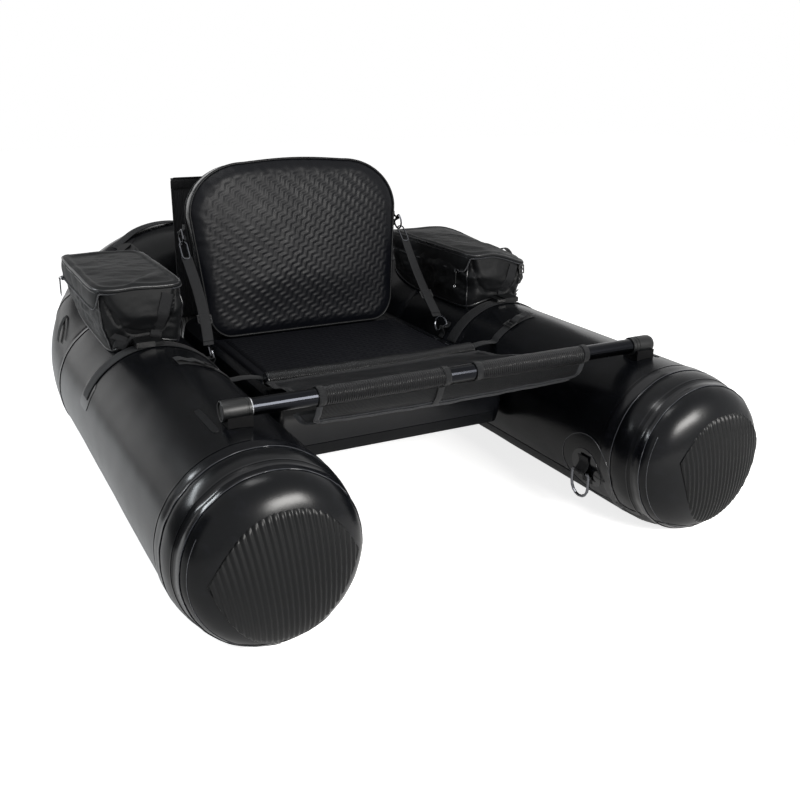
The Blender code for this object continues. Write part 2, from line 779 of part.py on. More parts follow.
def make_pad():
    centre_y = aft(BACKREST_SETBACK - PAD_BACK_GAP - PAD_LENGTH / 2)
    place = Matrix.Translation((0, centre_y, SLAB_TOP + CLEAR + PAD_THICKNESS / 2))
    cushion("seat_pad", (PAD_WIDTH, PAD_LENGTH, PAD_THICKNESS), (PAD_CORNER,) * 4, PAD_EDGE,
            PAD_CROWN, place, "embossed_eva", steps=4)


# Backrest

def fold_axis():
    """The backrest folds about its front face, level with the top of the seat pad."""
    return Vector((0, aft(BACKREST_SETBACK), SLAB_TOP + PAD_THICKNESS + 2 * CLEAR))


def backrest_frame():
    """The backrest's own frame at its front foot: X across, Y aft through it, Z up its height."""
    lean = Matrix.Rotation(-math.radians(BACKREST_LEAN_DEG), 4, "X")
    lift = BACKREST_DEPTH * math.sin(math.radians(BACKREST_LEAN_DEG))
    foot = Vector((0, aft(BACKREST_SETBACK), SLAB_TOP + CLEAR + lift))
    below_axis = fold_axis().z - foot.z
    return Matrix.Translation(foot - AFT * below_axis * math.tan(math.radians(BACKREST_LEAN_DEG))) @ lean


def make_backrest():
    upright = axes_to_matrix(ACROSS, UP, -AFT, (0, BACKREST_DEPTH / 2, BACKREST_HEIGHT / 2))
    corners = (BACKREST_TOP_CORNER, BACKREST_TOP_CORNER, BACKREST_FOOT_CORNER, BACKREST_FOOT_CORNER)
    rest = cushion("backrest_cushion", (BACKREST_WIDTH, BACKREST_HEIGHT, BACKREST_DEPTH), corners,
                   BACKREST_EDGE, BACKREST_CROWN, backrest_frame() @ upright, "embossed_eva")
    set_origin(rest, fold_axis())


def tab_point(side):
    """The point on the backrest's side where its ring's loop is sewn."""
    local = Vector((side * BACKREST_WIDTH / 2, BACKREST_DEPTH / 2, RING_TAB_HEIGHT))
    return backrest_frame() @ local


def oval(length, half_width, steps=8):
    """A closed link's centre line from the origin along -Y."""
    points = []
    for centre, first in ((-half_width, 0), (half_width - length, math.pi)):
        for step in range(steps + 1):
            angle = first + math.pi * step / steps
            points.append(Vector((half_width * math.cos(angle), centre + half_width * math.sin(angle), 0)))
    return points


def make_backrest_strap(word, side):
    """Ring, snap hook and webbing strap from the backrest's side to a ring on the pontoon."""
    outward = ACROSS * side
    anchor, normal = flank(side, ANCHOR_SETBACK, ANCHOR_ANGLE_DEG)
    low_bar = anchor + normal * LOOP_STANDOFF
    high_bar = tab_point(side) + outward * LOOP_STANDOFF
    rise = (high_bar - low_bar).normalized()
    low_axis = normal.cross(rise).normalized()
    high_axis = outward.cross(rise).normalized()
    make_loop(word + "_anchor_loop", anchor, normal, low_axis)
    make_ring(word + "_anchor_ring", hung_frame(low_bar, low_axis, rise))
    make_loop(word + "_backrest_loop", tab_point(side), outward, high_axis)
    ring = make_ring(word + "_backrest_ring", hung_frame(high_bar, high_axis, -rise))
    set_origin(ring, fold_axis())
    link_start = high_bar - rise * (RING_DEPTH - RING_WIRE - HOOK_WIRE - CLEAR)
    across = high_axis.cross(rise).normalized()
    hook = wire(word + "_snap_hook", oval(HOOK_LENGTH, HOOK_HALF_WIDTH), HOOK_WIRE, "steel", cyclic=True)
    hook.matrix_world = axes_to_matrix(across, rise, across.cross(rise), link_start)
    set_origin(as_mesh(hook, word + "_snap_hook", "steel"), fold_axis())
    top = link_start - rise * (HOOK_LENGTH + HOOK_WIRE + CLEAR)
    foot = low_bar + rise * (RING_DEPTH + RING_WIRE + CLEAR)
    ribbon(word + "_backrest_strap", [foot, (foot + top) / 2, top], low_axis, STRAP_WIDTH,
           WEB_THICKNESS, "webbing")


# Cross bar

def bar_z():
    return CREST + SADDLE_THICKNESS + CLEAR + cap_radius()


def cap_radius():
    return BAR_RADIUS + CLEAR + CAP_WALL


def bar_frame(x, towards):
    """Z runs along the bar from this X, towards -1 or 1."""
    return frame_on(ACROSS * towards, AFT, (x, aft(BAR_SETBACK), bar_z()))


def pipe_profile(outer, inner, low, high):
    return [(outer, high), (outer, low), (inner, low), (inner, high)]


def make_bar():
    profile = pipe_profile(BAR_RADIUS, BAR_RADIUS - BAR_WALL, 0, 2 * BAR_HALF)
    turned("crossbar_tube", profile, bar_frame(-BAR_HALF, 1), "anodised_aluminium", VALVE_SIDES)


def make_bar_end(word, side):
    """The plastic cap over the bar's end, and the rubber saddle that seats it on the pontoon."""
    bore = BAR_RADIUS + CLEAR
    radius = cap_radius()
    mouth = BAR_HALF - CAP_LENGTH + CAP_END
    end = BAR_HALF + CLEAR + CAP_END
    profile = [(0.0, end), (radius, end), (radius, mouth)]
    profile += [(bore, mouth), (bore, end - CAP_END), (0.0, end - CAP_END)]
    turned(word + "_bar_cap", profile, bar_frame(0, side), "moulded_plastic", VALVE_SIDES)
    middle_x = side * (mouth + end) / 2
    low_z = CREST - TUBE_RADIUS * SADDLE_FOOT_SHARE
    high_z = bar_z() - radius * SADDLE_CHEEK_SHARE
    low = (middle_x - SADDLE_LENGTH / 2, aft(BAR_SETBACK) - SADDLE_WIDTH / 2, low_z)
    high = (middle_x + SADDLE_LENGTH / 2, aft(BAR_SETBACK) + SADDLE_WIDTH / 2, high_z)
    saddle = box(word + "_bar_saddle", low, high, "rubber")
    groove = cylinder(word + "_bar_groove", radius + CLEAR, 2 * CAP_LENGTH,
                      bar_frame(side * (mouth - CAP_LENGTH / 2), side), "rubber", VALVE_SIDES, CUTTERS)
    boolean(saddle, as_cutter(groove))
    boolean(saddle, hull_cutter(word + "_saddle_seat", side))


# Stripping apron

def sleeve_radius():
    return BAR_RADIUS + CLEAR + SLEEVE_WALL


def make_sleeve(word, side):
    profile = pipe_profile(sleeve_radius(), BAR_RADIUS + CLEAR, SLEEVE_WINDOW, SLEEVE_END)
    turned(word + "_apron_sleeve", profile, bar_frame(0, side), "mesh_vinyl", VALVE_SIDES)


def make_roll():
    z = SLAB_TOP + CLEAR + ROLL_RADIUS
    place = frame_on(ACROSS, AFT, (-ROLL_HALF, aft(ROLL_SETBACK), z))
    cylinder("apron_rear_roll", ROLL_RADIUS, 2 * ROLL_HALF, place, "mesh_vinyl", VALVE_SIDES)


def apron_line(share):
    """A point down the middle of the apron, from the bar sleeve at 0 to the rear roll at 1."""
    start_y = aft(BAR_SETBACK) + sleeve_radius() + 2 * CLEAR
    end_y = aft(ROLL_SETBACK) - ROLL_RADIUS - 2 * CLEAR
    start_z, end_z = bar_z(), SLAB_TOP + CLEAR + ROLL_RADIUS
    sag = APRON_SAG * math.sin(math.pi * share)
    return Vector((0, start_y + (end_y - start_y) * share, start_z + (end_z - start_z) * share - sag))


def make_apron():
    def place(u, v):
        half = SLEEVE_END + (ROLL_HALF - SLEEVE_END) * v
        return apron_line(v) + ACROSS * half * (2 * u - 1)

    sheet("apron_panel", 2, 6, place, APRON_THICKNESS, "mesh_vinyl")


def make_lip():
    """The pocket that hangs below the bar: down from the sleeves, then back up under the apron."""
    top = Vector((0, aft(BAR_SETBACK), bar_z() - sleeve_radius() - 2 * CLEAR))
    low = Vector((0, aft(LIP_SETBACK), bar_z() - LIP_DROP))
    share = (LIP_SETBACK + LIP_BACK - BAR_SETBACK) / (ROLL_SETBACK - BAR_SETBACK)
    back = apron_line(share) - UP * (APRON_THICKNESS + 2 * CLEAR)
    path = [top, low, back]

    def place(u, v):
        return path[round(2 * v)] + ACROSS * SLEEVE_END * (2 * u - 1)

    sheet("apron_front_lip", 2, 2, place, APRON_THICKNESS, "mesh_vinyl")


def band_points(side, setback, first_deg, last_deg, thickness):
    """Points over the pontoon from one angle to another, whose straight runs clear its skin."""
    count = max(2, math.ceil(abs(last_deg - first_deg) / BAND_STEP_DEG))
    step = math.radians(abs(last_deg - first_deg) / count)
    radius = (TUBE_RADIUS + CLEAR) / math.cos(step / 2) + thickness / 2
    points = []
    for index in range(count + 1):
        surface, normal = flank(side, setback, first_deg + (last_deg - first_deg) * index / count)
        points.append(surface + normal * (radius - TUBE_RADIUS))
    return points


def make_apron_strap(word, side):
    """Webbing from the roll's end across the gap and up over the pontoon."""
    path = band_points(side, APRON_STRAP_SETBACK, APRON_STRAP_TOP_DEG, APRON_STRAP_FOOT_DEG, WEB_THICKNESS)
    end = Vector((side * (ROLL_HALF + CLEAR + WEB_THICKNESS), aft(APRON_STRAP_SETBACK),
                  SLAB_TOP + CLEAR + ROLL_RADIUS))
    path.append(end)
    ribbon(word + "_apron_strap", path, AFT, STRAP_WIDTH, WEB_THICKNESS, "webbing")


# Side bags

def bag_length():
    """The bag reaches back to a gap ahead of the valve."""
    return valve_frame(1).translation.y - VALVE_FLANGE_RADIUS - BAG_VALVE_GAP - aft(BAG_SETBACK)


def bag_low_x(side):
    return side * BAG_X - BAG_WIDTH / 2


def make_bag_body(name, side):
    """An open box of cloth whose floor lies on the hull."""
    low = Vector((bag_low_x(side), aft(BAG_SETBACK), BAG_BOTTOM))
    high = low + Vector((BAG_WIDTH, bag_length(), BAG_RIM - BAG_BOTTOM))
    body = box(name, low, high, "bag_cloth")
    soften(body, BAG_CORNER, 3, 60)
    body.modifiers["edges"].limit_method = "WEIGHT"
    mark_upright_edges(body)
    wall = Vector((BAG_WALL, BAG_WALL, 0))
    inside = box(name + "_inside", low + wall, high - wall + UP * OVERRUN, "bag_cloth", CUTTERS)
    soften(inside, BAG_CORNER - BAG_WALL, 3, 60)
    inside.modifiers["edges"].limit_method = "WEIGHT"
    mark_upright_edges(inside)
    boolean(inside, hull_cutter(name + "_floor", side, CLEAR + BAG_WALL))
    boolean(body, as_cutter(inside))
    boolean(body, hull_cutter(name + "_seat", side))


def mark_upright_edges(obj):
    """Gives a box's four upright edges the bevel weight that rounds only them."""
    weights = obj.data.attributes.new("bevel_weight_edge", "FLOAT", "EDGE")
    for edge in obj.data.edges:
        first, second = (obj.data.vertices[index].co for index in edge.vertices)
        upright = abs(first.x - second.x) < WELD and abs(first.y - second.y) < WELD
        weights.data[edge.index].value = 1.0 if upright else 0.0


def lid_axis(side):
    return Vector((bag_low_x(side) + BAG_WIDTH, aft(BAG_SETBACK + bag_length() / 2), BAG_RIM + CLEAR / 2))


def make_bag_lid(name, side):
    """A crowned lid that is sewn along the bag's +X side and zipped round the other three."""
    outline = rounded_outline(BAG_WIDTH, bag_length(), (BAG_CORNER,) * 4, 3)
    bm = bmesh.new()
    levels = ((0.0, 0.0), (LID_THICKNESS, 0.0),
              (LID_THICKNESS + LID_CROWN * LID_SHOULDER_RISE_SHARE, LID_SHOULDER_INSET_SHARE),
              (LID_THICKNESS + LID_CROWN, LID_TOP_INSET_SHARE))
    rings = []
    for level, inset_share in levels:
        shrink = 1 - inset_share
        rings.append([bm.verts.new((x * shrink, y * shrink, level)) for x, y in outline])
    for lower, upper in zip(rings, rings[1:]):
        for index in range(len(outline)):
            after = (index + 1) % len(outline)
            bm.faces.new((lower[index], lower[after], upper[after], upper[index]))
    bm.faces.new(rings[0])
    bm.faces.new(rings[-1])
    middle = Vector((side * BAG_X, aft(BAG_SETBACK + bag_length() / 2), BAG_RIM + CLEAR))
    lid = put(name, bm, "bag_cloth", Matrix.Translation(middle))
    set_origin(lid, lid_axis(side))


def make_zip_slider(name, side):
    """The zip's slider with its pull tab, on the bag's -X side below the lid."""
    outline = [
        (-ZIP_LENGTH / 2, ZIP_HEIGHT / 2), (-ZIP_LENGTH / 2, -ZIP_HEIGHT / 2),
        (-ZIP_TAB_WIDTH / 2, -ZIP_HEIGHT / 2), (-ZIP_TAB_WIDTH / 2, -ZIP_HEIGHT / 2 - ZIP_TAB_LENGTH),
        (ZIP_TAB_WIDTH / 2, -ZIP_HEIGHT / 2 - ZIP_TAB_LENGTH), (ZIP_TAB_WIDTH / 2, -ZIP_HEIGHT / 2),
        (ZIP_LENGTH / 2, -ZIP_HEIGHT / 2), (ZIP_LENGTH / 2, ZIP_HEIGHT / 2),
    ]
    setback = BAG_SETBACK + (bag_length() - ZIP_INSET if side < 0 else ZIP_INSET)
    centre = (bag_low_x(side) - CLEAR - ZIP_THICKNESS / 2, aft(setback), BAG_RIM - ZIP_DROP)
    place = axes_to_matrix(AFT, UP, ACROSS, centre)
    extruded(name, [outline], ZIP_THICKNESS, place, "steel")


# Hold-down straps and buckles

def hold_setback():
    return BAG_SETBACK - HOLD_GAP - WEB_WIDTH / 2


def make_hold_strap(name, side):
    path = band_points(side, hold_setback(), HOLD_INNER_DEG, -HOLD_OUTER_DEG, WEB_THICKNESS)
    ribbon(name, path, AFT, WEB_WIDTH, WEB_THICKNESS, "webbing")


def buckle_frame(side):
    """The buckle lies on the strap at the pontoon's crest, its plug leaving towards the seat."""
    base = CREST + 3 * CLEAR + WEB_THICKNESS
    centre = (side * TUBE_SPACING, aft(hold_setback()), base + BUCKLE_HEIGHT / 2)
    return axes_to_matrix(-ACROSS * side, -AFT * side, UP, centre)


def make_buckle(word, side):
    """The socket's slot takes the plug's two sprung prongs."""
    place = buckle_frame(side)
    half = Vector((0, BUCKLE_HALF_WIDTH, BUCKLE_HEIGHT / 2))
    socket = box(word + "_buckle_socket", -half - ACROSS * SOCKET_LENGTH, half, "moulded_plastic")
    slot_half = Vector((0, BUCKLE_HALF_WIDTH - BUCKLE_WALL, BUCKLE_HEIGHT / 2 - BUCKLE_WALL))
    slot = box(word + "_buckle_slot", -slot_half - ACROSS * (PRONG_LENGTH + BUCKLE_WALL),
               slot_half + ACROSS * OVERRUN, "moulded_plastic", CUTTERS)
    for piece in (socket, slot):
        piece.matrix_world = place @ piece.matrix_world
    boolean(socket, as_cutter(slot))
    reach = slot_half.y - CLEAR
    inner = reach - PRONG_WIDTH
    right = [(CLEAR, inner), (-PRONG_LENGTH, inner), (-PRONG_LENGTH, reach), (CLEAR, reach),
             (CLEAR, BUCKLE_HALF_WIDTH), (PLUG_HEAD, BUCKLE_HALF_WIDTH * BUCKLE_TAPER_SHARE)]
    outline = right + [(x, -y) for x, y in right[::-1]]
    thickness = 2 * (slot_half.z - CLEAR)
    plug = extruded(word + "_buckle_plug", [outline], thickness, place, "moulded_plastic")
    set_origin(plug, place.translation)


# Storage panel

def make_panel():
    rear = aft(STERN_SETBACK) - TUBE_RADIUS - PANEL_STANDOFF
    low = (-PANEL_HALF, rear - PANEL_THICKNESS, SLAB_TOP + CLEAR)
    panel = box("rear_storage_panel", low, (PANEL_HALF, rear, SLAB_TOP + PANEL_HEIGHT), "mesh_vinyl")
    soften(panel, PANEL_EDGE, 1)


def make_side(word, side):
    make_pontoon(word + "_pontoon_tube", side)
    make_nose(word + "_nose_cone", side)
    make_wear_patch(word + "_wear_patch", side)
    make_bend(word + "_stern_bend", side)
    make_valve_body(word + "_valve_body", side)
    make_valve_cap(word + "_valve_cap", side)
    make_carry_handle(word + "_carry_handle", side)
    make_front_ring(word, side)
    make_backrest_strap(word, side)
    make_bar_end(word, side)
    make_sleeve(word, side)
    make_apron_strap(word, side)
    make_bag_body(word + "_bag_body", side)
    make_bag_lid(word + "_bag_lid", side)
    make_zip_slider(word + "_zip_slider", side)
    make_hold_strap(word + "_hold_strap", side)
    make_buckle(word, side)


def main():
    make_stern_tube("stern_tube")
    make_slab()
    make_pad()
    make_backrest()
    make_bar()
    make_roll()
    make_apron()
    make_lip()
    make_panel()
    for word, side in SIDES:
        make_side(word, side)
    for obj in PARTS.objects:
        if obj.type == "MESH":
            shade_round(obj)


main()
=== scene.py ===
# %% [markdown]
# # A float tube, dressed for its portrait
#
# A float tube is a one-person fishing boat. Two air-filled pontoons join at a raised stern, the
# angler sits on a firm air slab between them, and a bar across the front carries an apron that
# keeps the loose fly line out of the water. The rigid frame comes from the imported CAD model.
# Everything here is laid over that frame: skins, cloth, webbing and hardware.

# %% Load the frame
import math

import bpy
import numpy as np
from mathutils import Matrix, Vector, noise


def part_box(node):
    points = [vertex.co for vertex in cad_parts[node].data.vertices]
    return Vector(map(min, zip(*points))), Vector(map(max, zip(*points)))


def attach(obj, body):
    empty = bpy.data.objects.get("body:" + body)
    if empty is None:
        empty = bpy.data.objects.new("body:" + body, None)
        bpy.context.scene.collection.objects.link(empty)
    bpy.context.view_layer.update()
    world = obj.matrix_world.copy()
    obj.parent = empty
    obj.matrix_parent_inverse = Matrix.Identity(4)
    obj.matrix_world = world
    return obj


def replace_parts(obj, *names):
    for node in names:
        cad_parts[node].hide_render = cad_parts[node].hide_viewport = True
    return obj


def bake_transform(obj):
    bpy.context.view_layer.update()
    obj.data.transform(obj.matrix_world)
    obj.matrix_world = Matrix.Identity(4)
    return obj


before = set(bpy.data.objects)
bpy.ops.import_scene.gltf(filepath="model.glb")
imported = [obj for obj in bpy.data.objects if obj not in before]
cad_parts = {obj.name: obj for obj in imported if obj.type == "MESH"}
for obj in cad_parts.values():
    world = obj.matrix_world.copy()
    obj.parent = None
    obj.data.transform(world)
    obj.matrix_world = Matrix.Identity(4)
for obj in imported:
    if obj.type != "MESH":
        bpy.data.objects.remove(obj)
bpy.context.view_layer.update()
UP, ACROSS, AFT = Vector((0, 0, 1)), Vector((1, 0, 0)), Vector((0, 1, 0))
SIDES = (("left", -1), ("right", 1))


def placed(name, data):
    """Puts a mesh, a lamp or a camera into the scene."""
    item = bpy.data.objects.new(name, data)
    bpy.context.scene.collection.objects.link(item)
    return item


def axes_place(x_axis, y_axis, z_axis, origin):
    """A matrix that holds a place and its three axes."""
    return Matrix.Translation(origin) @ Matrix((x_axis, y_axis, z_axis)).transposed().to_4x4()


def corners(node):
    return [Vector(corner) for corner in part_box(node)]


def angles(count):
    return [2 * math.pi * k / count for k in range(count)]


def shares(steps):
    """The shares from 0 to 1 in this many steps."""
    return [k / steps for k in range(steps + 1)]


# %% [markdown]
# ## The camera
#
# The viewing angle was solved from the outlines of the boat: about 28 degrees to one side and 20
# degrees from above, close enough that the near pontoon looks large. A camera needs a place and
# three axes. They are built here from yaw, pitch and a slight roll, which is easier to read than
# a matrix of numbers.

# %% Camera
RING_A_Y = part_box("left_nose_cone")[1][1]
FOCAL_PX, PICTURE_PX, SENSOR_MM = 926.9, 800, 36
YAW, PITCH, ROLL = 0.4927, 0.3424, 0.0101
EYE = Vector((-0.8539, RING_A_Y - 1.2542, 0.8588))


def aim_camera():
    ahead = Vector((math.sin(YAW) * math.cos(PITCH), math.cos(YAW) * math.cos(PITCH), -math.sin(PITCH)))
    right = Vector((math.cos(YAW), -math.sin(YAW), 0))
    over = right.cross(ahead)
    level = right * math.cos(ROLL) + over * math.sin(ROLL)
    upright = over * math.cos(ROLL) - right * math.sin(ROLL)
    data = bpy.data.cameras.new("studio_camera")
    data.sensor_width, data.clip_start = SENSOR_MM, 0.02
    data.lens = FOCAL_PX * SENSOR_MM / PICTURE_PX
    camera = placed("studio_camera", data)
    camera.matrix_world = axes_place(level, upright, -ahead, EYE)
    bpy.context.scene.camera = camera
    return camera


print("lens in mm:", round(aim_camera().data.lens, 2))


# %% [markdown]
# ## Small tools for colour and nodes
#
# A colour picked on a screen is an sRGB value, but a shader works in linear light, so one function
# converts it. A second function adds any node with its settings and links. Every material below
# is built with these two.

# %% Colour and node helpers
def linear(hex_text):
    """An sRGB hex colour as the linear values that a shader wants."""
    parts = [int(hex_text[i:i + 2], 16) / 255 for i in (1, 3, 5)]
    return (*(s / 12.92 if s <= 0.04045 else ((s + 0.055) / 1.055) ** 2.4 for s in parts), 1.0)


def add(tree, kind, links=None, **settings):
    """Adds one node. A setting is a property or an input's value (_1 is input 1), a link feeds an input."""
    node = tree.nodes.new("ShaderNode" + kind)
    for key, value in settings.items():
        if hasattr(node, key):
            setattr(node, key, value)
        else:
            node.inputs[int(key[1:]) if key[1:].isdigit() else key.replace("_", " ")].default_value = value
    for key, source in (links or {}).items():
        tree.links.new(source, node.inputs[key])
    return node


def new_finish(name, colour, roughness, **sockets):
    """A material with constant values on the shader's own sockets, ready for texture nodes."""
    material = bpy.data.materials.new(name)
    material.use_nodes = True
    shader = material.node_tree.nodes["Principled BSDF"]
    for socket, value in {"Base_Color": linear(colour), "Roughness": roughness, **sockets}.items():
        shader.inputs[socket.replace("_", " ")].default_value = value
    return material, material.node_tree, shader


def rest_coordinates(tree, scale=(1, 1, 1)):
    """The piece's own coordinates in metres, so a pattern stays put when a body moves."""
    where = add(tree, "TexCoord")
    return add(tree, "Mapping", {"Vector": where.outputs["Object"]}, Scale=scale).outputs[0]


def noise_at(tree, place, scale, detail, **settings):
    return add(tree, "TexNoise", {"Vector": place}, Scale=scale, Detail=detail, **settings).outputs[0]


def bumped(tree, shader, height, distance_mm, strength):
    """Feeds a height from 0 to 1 into the shader's normal, at a real depth in millimetres."""
    bump = add(tree, "Bump", {"Height": height}, Distance=distance_mm / 1000, Strength=strength)
    tree.links.new(bump.outputs["Normal"], shader.inputs["Normal"])


def varied(tree, shader, factor, socket, low, high):
    """Spreads a socket between two values by a factor, such as roughness or colour."""
    if isinstance(low, str):
        mix = add(tree, "MixRGB", {"Fac": factor}, Color1=linear(low), Color2=linear(high))
    else:
        mix = add(tree, "MapRange", {"Value": factor}, To_Min=low, To_Max=high)
    tree.links.new(mix.outputs[0], shader.inputs[socket])


print("mid grey in linear light:", round(linear("#808080")[0], 3))


# %% [markdown]
# ## Coated fabric of the hull
#
# The hull is polyester cloth coated on both sides with soft PVC, about 1 mm thick. The calendered
# coat gives a satin gloss. It scuffs and holds dust, so the gloss is uneven, and the cloth under
# it ripples a little where the seams pull.

# %% PVC finishes
def make_hull_pvc(name, colour, worn_colour, roughness, worn_roughness, level):
    material, tree, shader = new_finish(name, colour, roughness, IOR=1.52, Specular_IOR_Level=level)
    place = rest_coordinates(tree, (1, 0.45, 1))
    clouds = noise_at(tree, place, 9.0, 5.0, Roughness=0.6)
    scuffs = noise_at(tree, place, 60.0, 6.0, Roughness=0.7)
    wear = add(tree, "MapRange", {"Value": scuffs}, From_Min=0.52, From_Max=0.75)
    varied(tree, shader, wear.outputs[0], "Base Color", colour, worn_colour)
    varied(tree, shader, clouds, "Roughness", roughness, worn_roughness)
    ripple = noise_at(tree, place, 14.0, 2.0, Roughness=0.4)
    grain = noise_at(tree, place, 420.0, 2.0)
    height = add(tree, "Math", {0: grain, 2: ripple}, operation="MULTIPLY_ADD", _1=0.03)
    bumped(tree, shader, height.outputs[0], 2.0, 0.35)
    return material


PVC_SKIN = make_hull_pvc("calendered_pvc_fabric", "#060709", "#0d0e12", 0.18, 0.30, 0.16)
PVC_TAPE = make_hull_pvc("welded_pvc_tape", "#090a0d", "#121317", 0.14, 0.26, 0.28)
PVC_FLOOR = make_hull_pvc("matt_pvc_fabric", "#0a0b0d", "#131417", 0.42, 0.55, 0.18)
# The bead is far lighter than the skin: its colour is a painted highlight, the bright hairline along each weld.
PVC_BEAD_PAINTED_HIGHLIGHT = make_hull_pvc("weld_bead_painted_highlight", "#24262b", "#34363c", 0.14, 0.22, 0.60)
print("hull finishes:", PVC_SKIN.name, PVC_TAPE.name, PVC_FLOOR.name, PVC_BEAD_PAINTED_HIGHLIGHT.name)


# %% [markdown]
# ## Floor and light
#
# The studio is white and plain. Camera, mirror and glass rays see a white world, while the light
# that falls on the boat stays moderate, so blacks stay black. Black gloss is drawn by what it
# mirrors. A window-like box in front puts the broad glow on the noses, one at the rear left draws
# the streaks along the pontoons, and a weak one overhead lifts the seat. Two grey cards, which the
# camera doesn't see, keep white off the tops and off the left flank.

# %% Floor, world and lamps
AMBIENT, FLOOR_SEEN, FLOOR_MIRRORED, CARD_GLOW, FLOOR_WIDE = 0.30, 0.80, 0.22, 0.14, 18.0


def brighter(tree, first, second):
    return add(tree, "Math", {0: first, 1: second}, operation="MAXIMUM").outputs[0]


def make_world():
    world = bpy.data.worlds.new("white_studio")
    bpy.context.scene.world = world
    world.use_nodes = True
    tree = world.node_tree
    background = tree.nodes["Background"]
    background.inputs["Color"].default_value = (1, 1, 1, 1)
    ray = add(tree, "LightPath").outputs
    seen = brighter(tree, brighter(tree, ray["Is Camera Ray"], ray["Is Glossy Ray"]), ray["Is Transmission Ray"])
    strength = add(tree, "MapRange", {"Value": seen}, To_Min=AMBIENT, To_Max=1.0)
    tree.links.new(strength.outputs[0], background.inputs["Strength"])


def studio_card(name, finish, shape):
    """A card one metre square, stretched, turned and moved by a matrix."""
    mesh = bpy.data.meshes.new(name)
    mesh.from_pydata([shape @ Vector((x / 2, y / 2, 0)) for x, y in ((-1, -1), (1, -1), (1, 1), (-1, 1))],
                     [], [(0, 1, 2, 3)])
    mesh.materials.append(finish)
    card = placed(name, mesh)
    return card


def make_floor():
    material, tree, shader = new_finish("white_floor", "#e9e9e9", 0.9, Specular_IOR_Level=0.0,
                                        Emission_Color=(1, 1, 1, 1))
    ray = add(tree, "LightPath").outputs
    seen, mirrored = (add(tree, "Math", {0: ray[kind]}, operation="MULTIPLY", _1=share).outputs[0]
                      for kind, share in (("Is Camera Ray", FLOOR_SEEN), ("Is Glossy Ray", FLOOR_MIRRORED)))
    tree.links.new(brighter(tree, seen, mirrored), shader.inputs["Emission Strength"])
    studio_card("studio_floor", material, Matrix.Diagonal((FLOOR_WIDE, FLOOR_WIDE, 1, 1)))


def soft_box(name, place, target, size, watts, colour):
    data = bpy.data.lights.new(name, "AREA")
    data.shape = "RECTANGLE"
    data.size, data.size_y = size
    data.energy, data.color = watts, linear(colour)[:3]
    lamp = placed(name, data)
    lamp.location = place
    lamp.rotation_euler = (Vector(target) - Vector(place)).to_track_quat("-Z", "Y").to_euler()


bpy.context.scene.view_settings.view_transform = "Standard"
make_world()
make_floor()
card_grey = new_finish("grey_card", "#0a0a0b", 0.9, Specular_IOR_Level=0.0, Emission_Color=(1, 1, 1, 1),
                       Emission_Strength=CARD_GLOW)[0]
for name, place, size, axis in (("rear_grey_card", (0, 4.6, 3.6), (9.0, 4.2), "X"),
                                ("left_grey_card", (-3.4, 1.2, 1.25), (2.5, 6.0), "Y")):
    shape = Matrix.Translation(place) @ Matrix.Rotation(math.radians(90), 4, axis) @ Matrix.Diagonal((*size, 1, 1))
    studio_card(name, card_grey, shape).visible_camera = False
for lamp in (("front_window_box", (0.62, -2.95, 1.30), (-0.35, -0.65, 0.20), (1.40, 0.56), 118, "#fdfbf8"),
             ("rear_left_box", (-2.1, 1.05, 1.55), (-0.2, -0.6, 0.25), (1.3, 0.34), 33, "#eef4f8"),
             ("overhead_box", (-0.5, -0.70, 2.4), (0.1, -0.5, 0.2), (0.8, 0.5), 12, "#ffffff")):
    soft_box(*lamp)


# %% [markdown]
# ## Mesh tools
#
# Most pieces here are one of four forms: a surface that a rule gives point by point, a strap that
# follows a path, a round cord, and a profile turned about an axis. Each tool returns an object in
# the boat's own coordinates, with texture coordinates in metres along and across, so that a weave
# keeps its real size.

# %% Pieces and surfaces
def make_piece(name, points, faces, finish, body, uvs=None, smooth_deg=40):
    """A mesh object with its finish, which rides on a body if one is given."""
    mesh = bpy.data.meshes.new(name)
    mesh.from_pydata([tuple(p) for p in points], [], faces)
    mesh.validate()
    if uvs is not None:
        layer = mesh.uv_layers.new(name="metres")
        at = np.empty(len(mesh.loops), dtype=np.int32)
        mesh.loops.foreach_get("vertex_index", at)
        layer.data.foreach_set("uv", np.asarray(uvs, dtype=np.float32)[at].ravel())
    mesh.shade_smooth()
    mesh.set_sharp_from_angle(angle=math.radians(smooth_deg))
    mesh.materials.append(finish)
    piece = placed(name, mesh)
    if body:
        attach(piece, body)
    return piece


def grid_faces(rows, columns, closed=False):
    """Quads over rows of points, the last column joined to the first where closed."""
    return [(low + column, low + (column + 1) % columns, low + columns + (column + 1) % columns,
             low + columns + column)
            for low in range(0, (rows - 1) * columns, columns)
            for column in range(columns if closed else columns - 1)]


def surface(name, rows, columns, rule, finish, body, size, closed=False):
    """A surface whose points rule(u, v) sets, with u over the columns and v over the rows."""
    span = columns if closed else columns - 1
    spots = [(column / span, row / (rows - 1)) for row in range(rows) for column in range(columns)]
    points = [rule(u, v) for u, v in spots]
    uvs = [(u * size[0], v * size[1]) for u, v in spots]
    return make_piece(name, points, grid_faces(rows, columns, closed), finish, body, uvs, 60)


def give_thickness(piece, thickness, offset=0.0, bevel=0.0):
    """Thickens a sheet and, where asked, rounds the edges that this makes."""
    wall = piece.modifiers.new("thickness", "SOLIDIFY")
    wall.thickness, wall.offset, wall.use_even_offset = thickness, offset, True
    if bevel:
        edge = piece.modifiers.new("edge", "BEVEL")
        edge.width, edge.segments = bevel, 2
        edge.limit_method, edge.angle_limit = "ANGLE", math.radians(50)
    return piece


def apply_modifiers(piece):
    """Makes a piece's modifiers part of its mesh."""
    graph = bpy.context.evaluated_depsgraph_get()
    final = bpy.data.meshes.new_from_object(piece.evaluated_get(graph), depsgraph=graph)
    final.name = piece.name
    piece.modifiers.clear()
    piece.data = final


print("a grid of 3 by 4 points has", len(grid_faces(3, 4)), "faces")


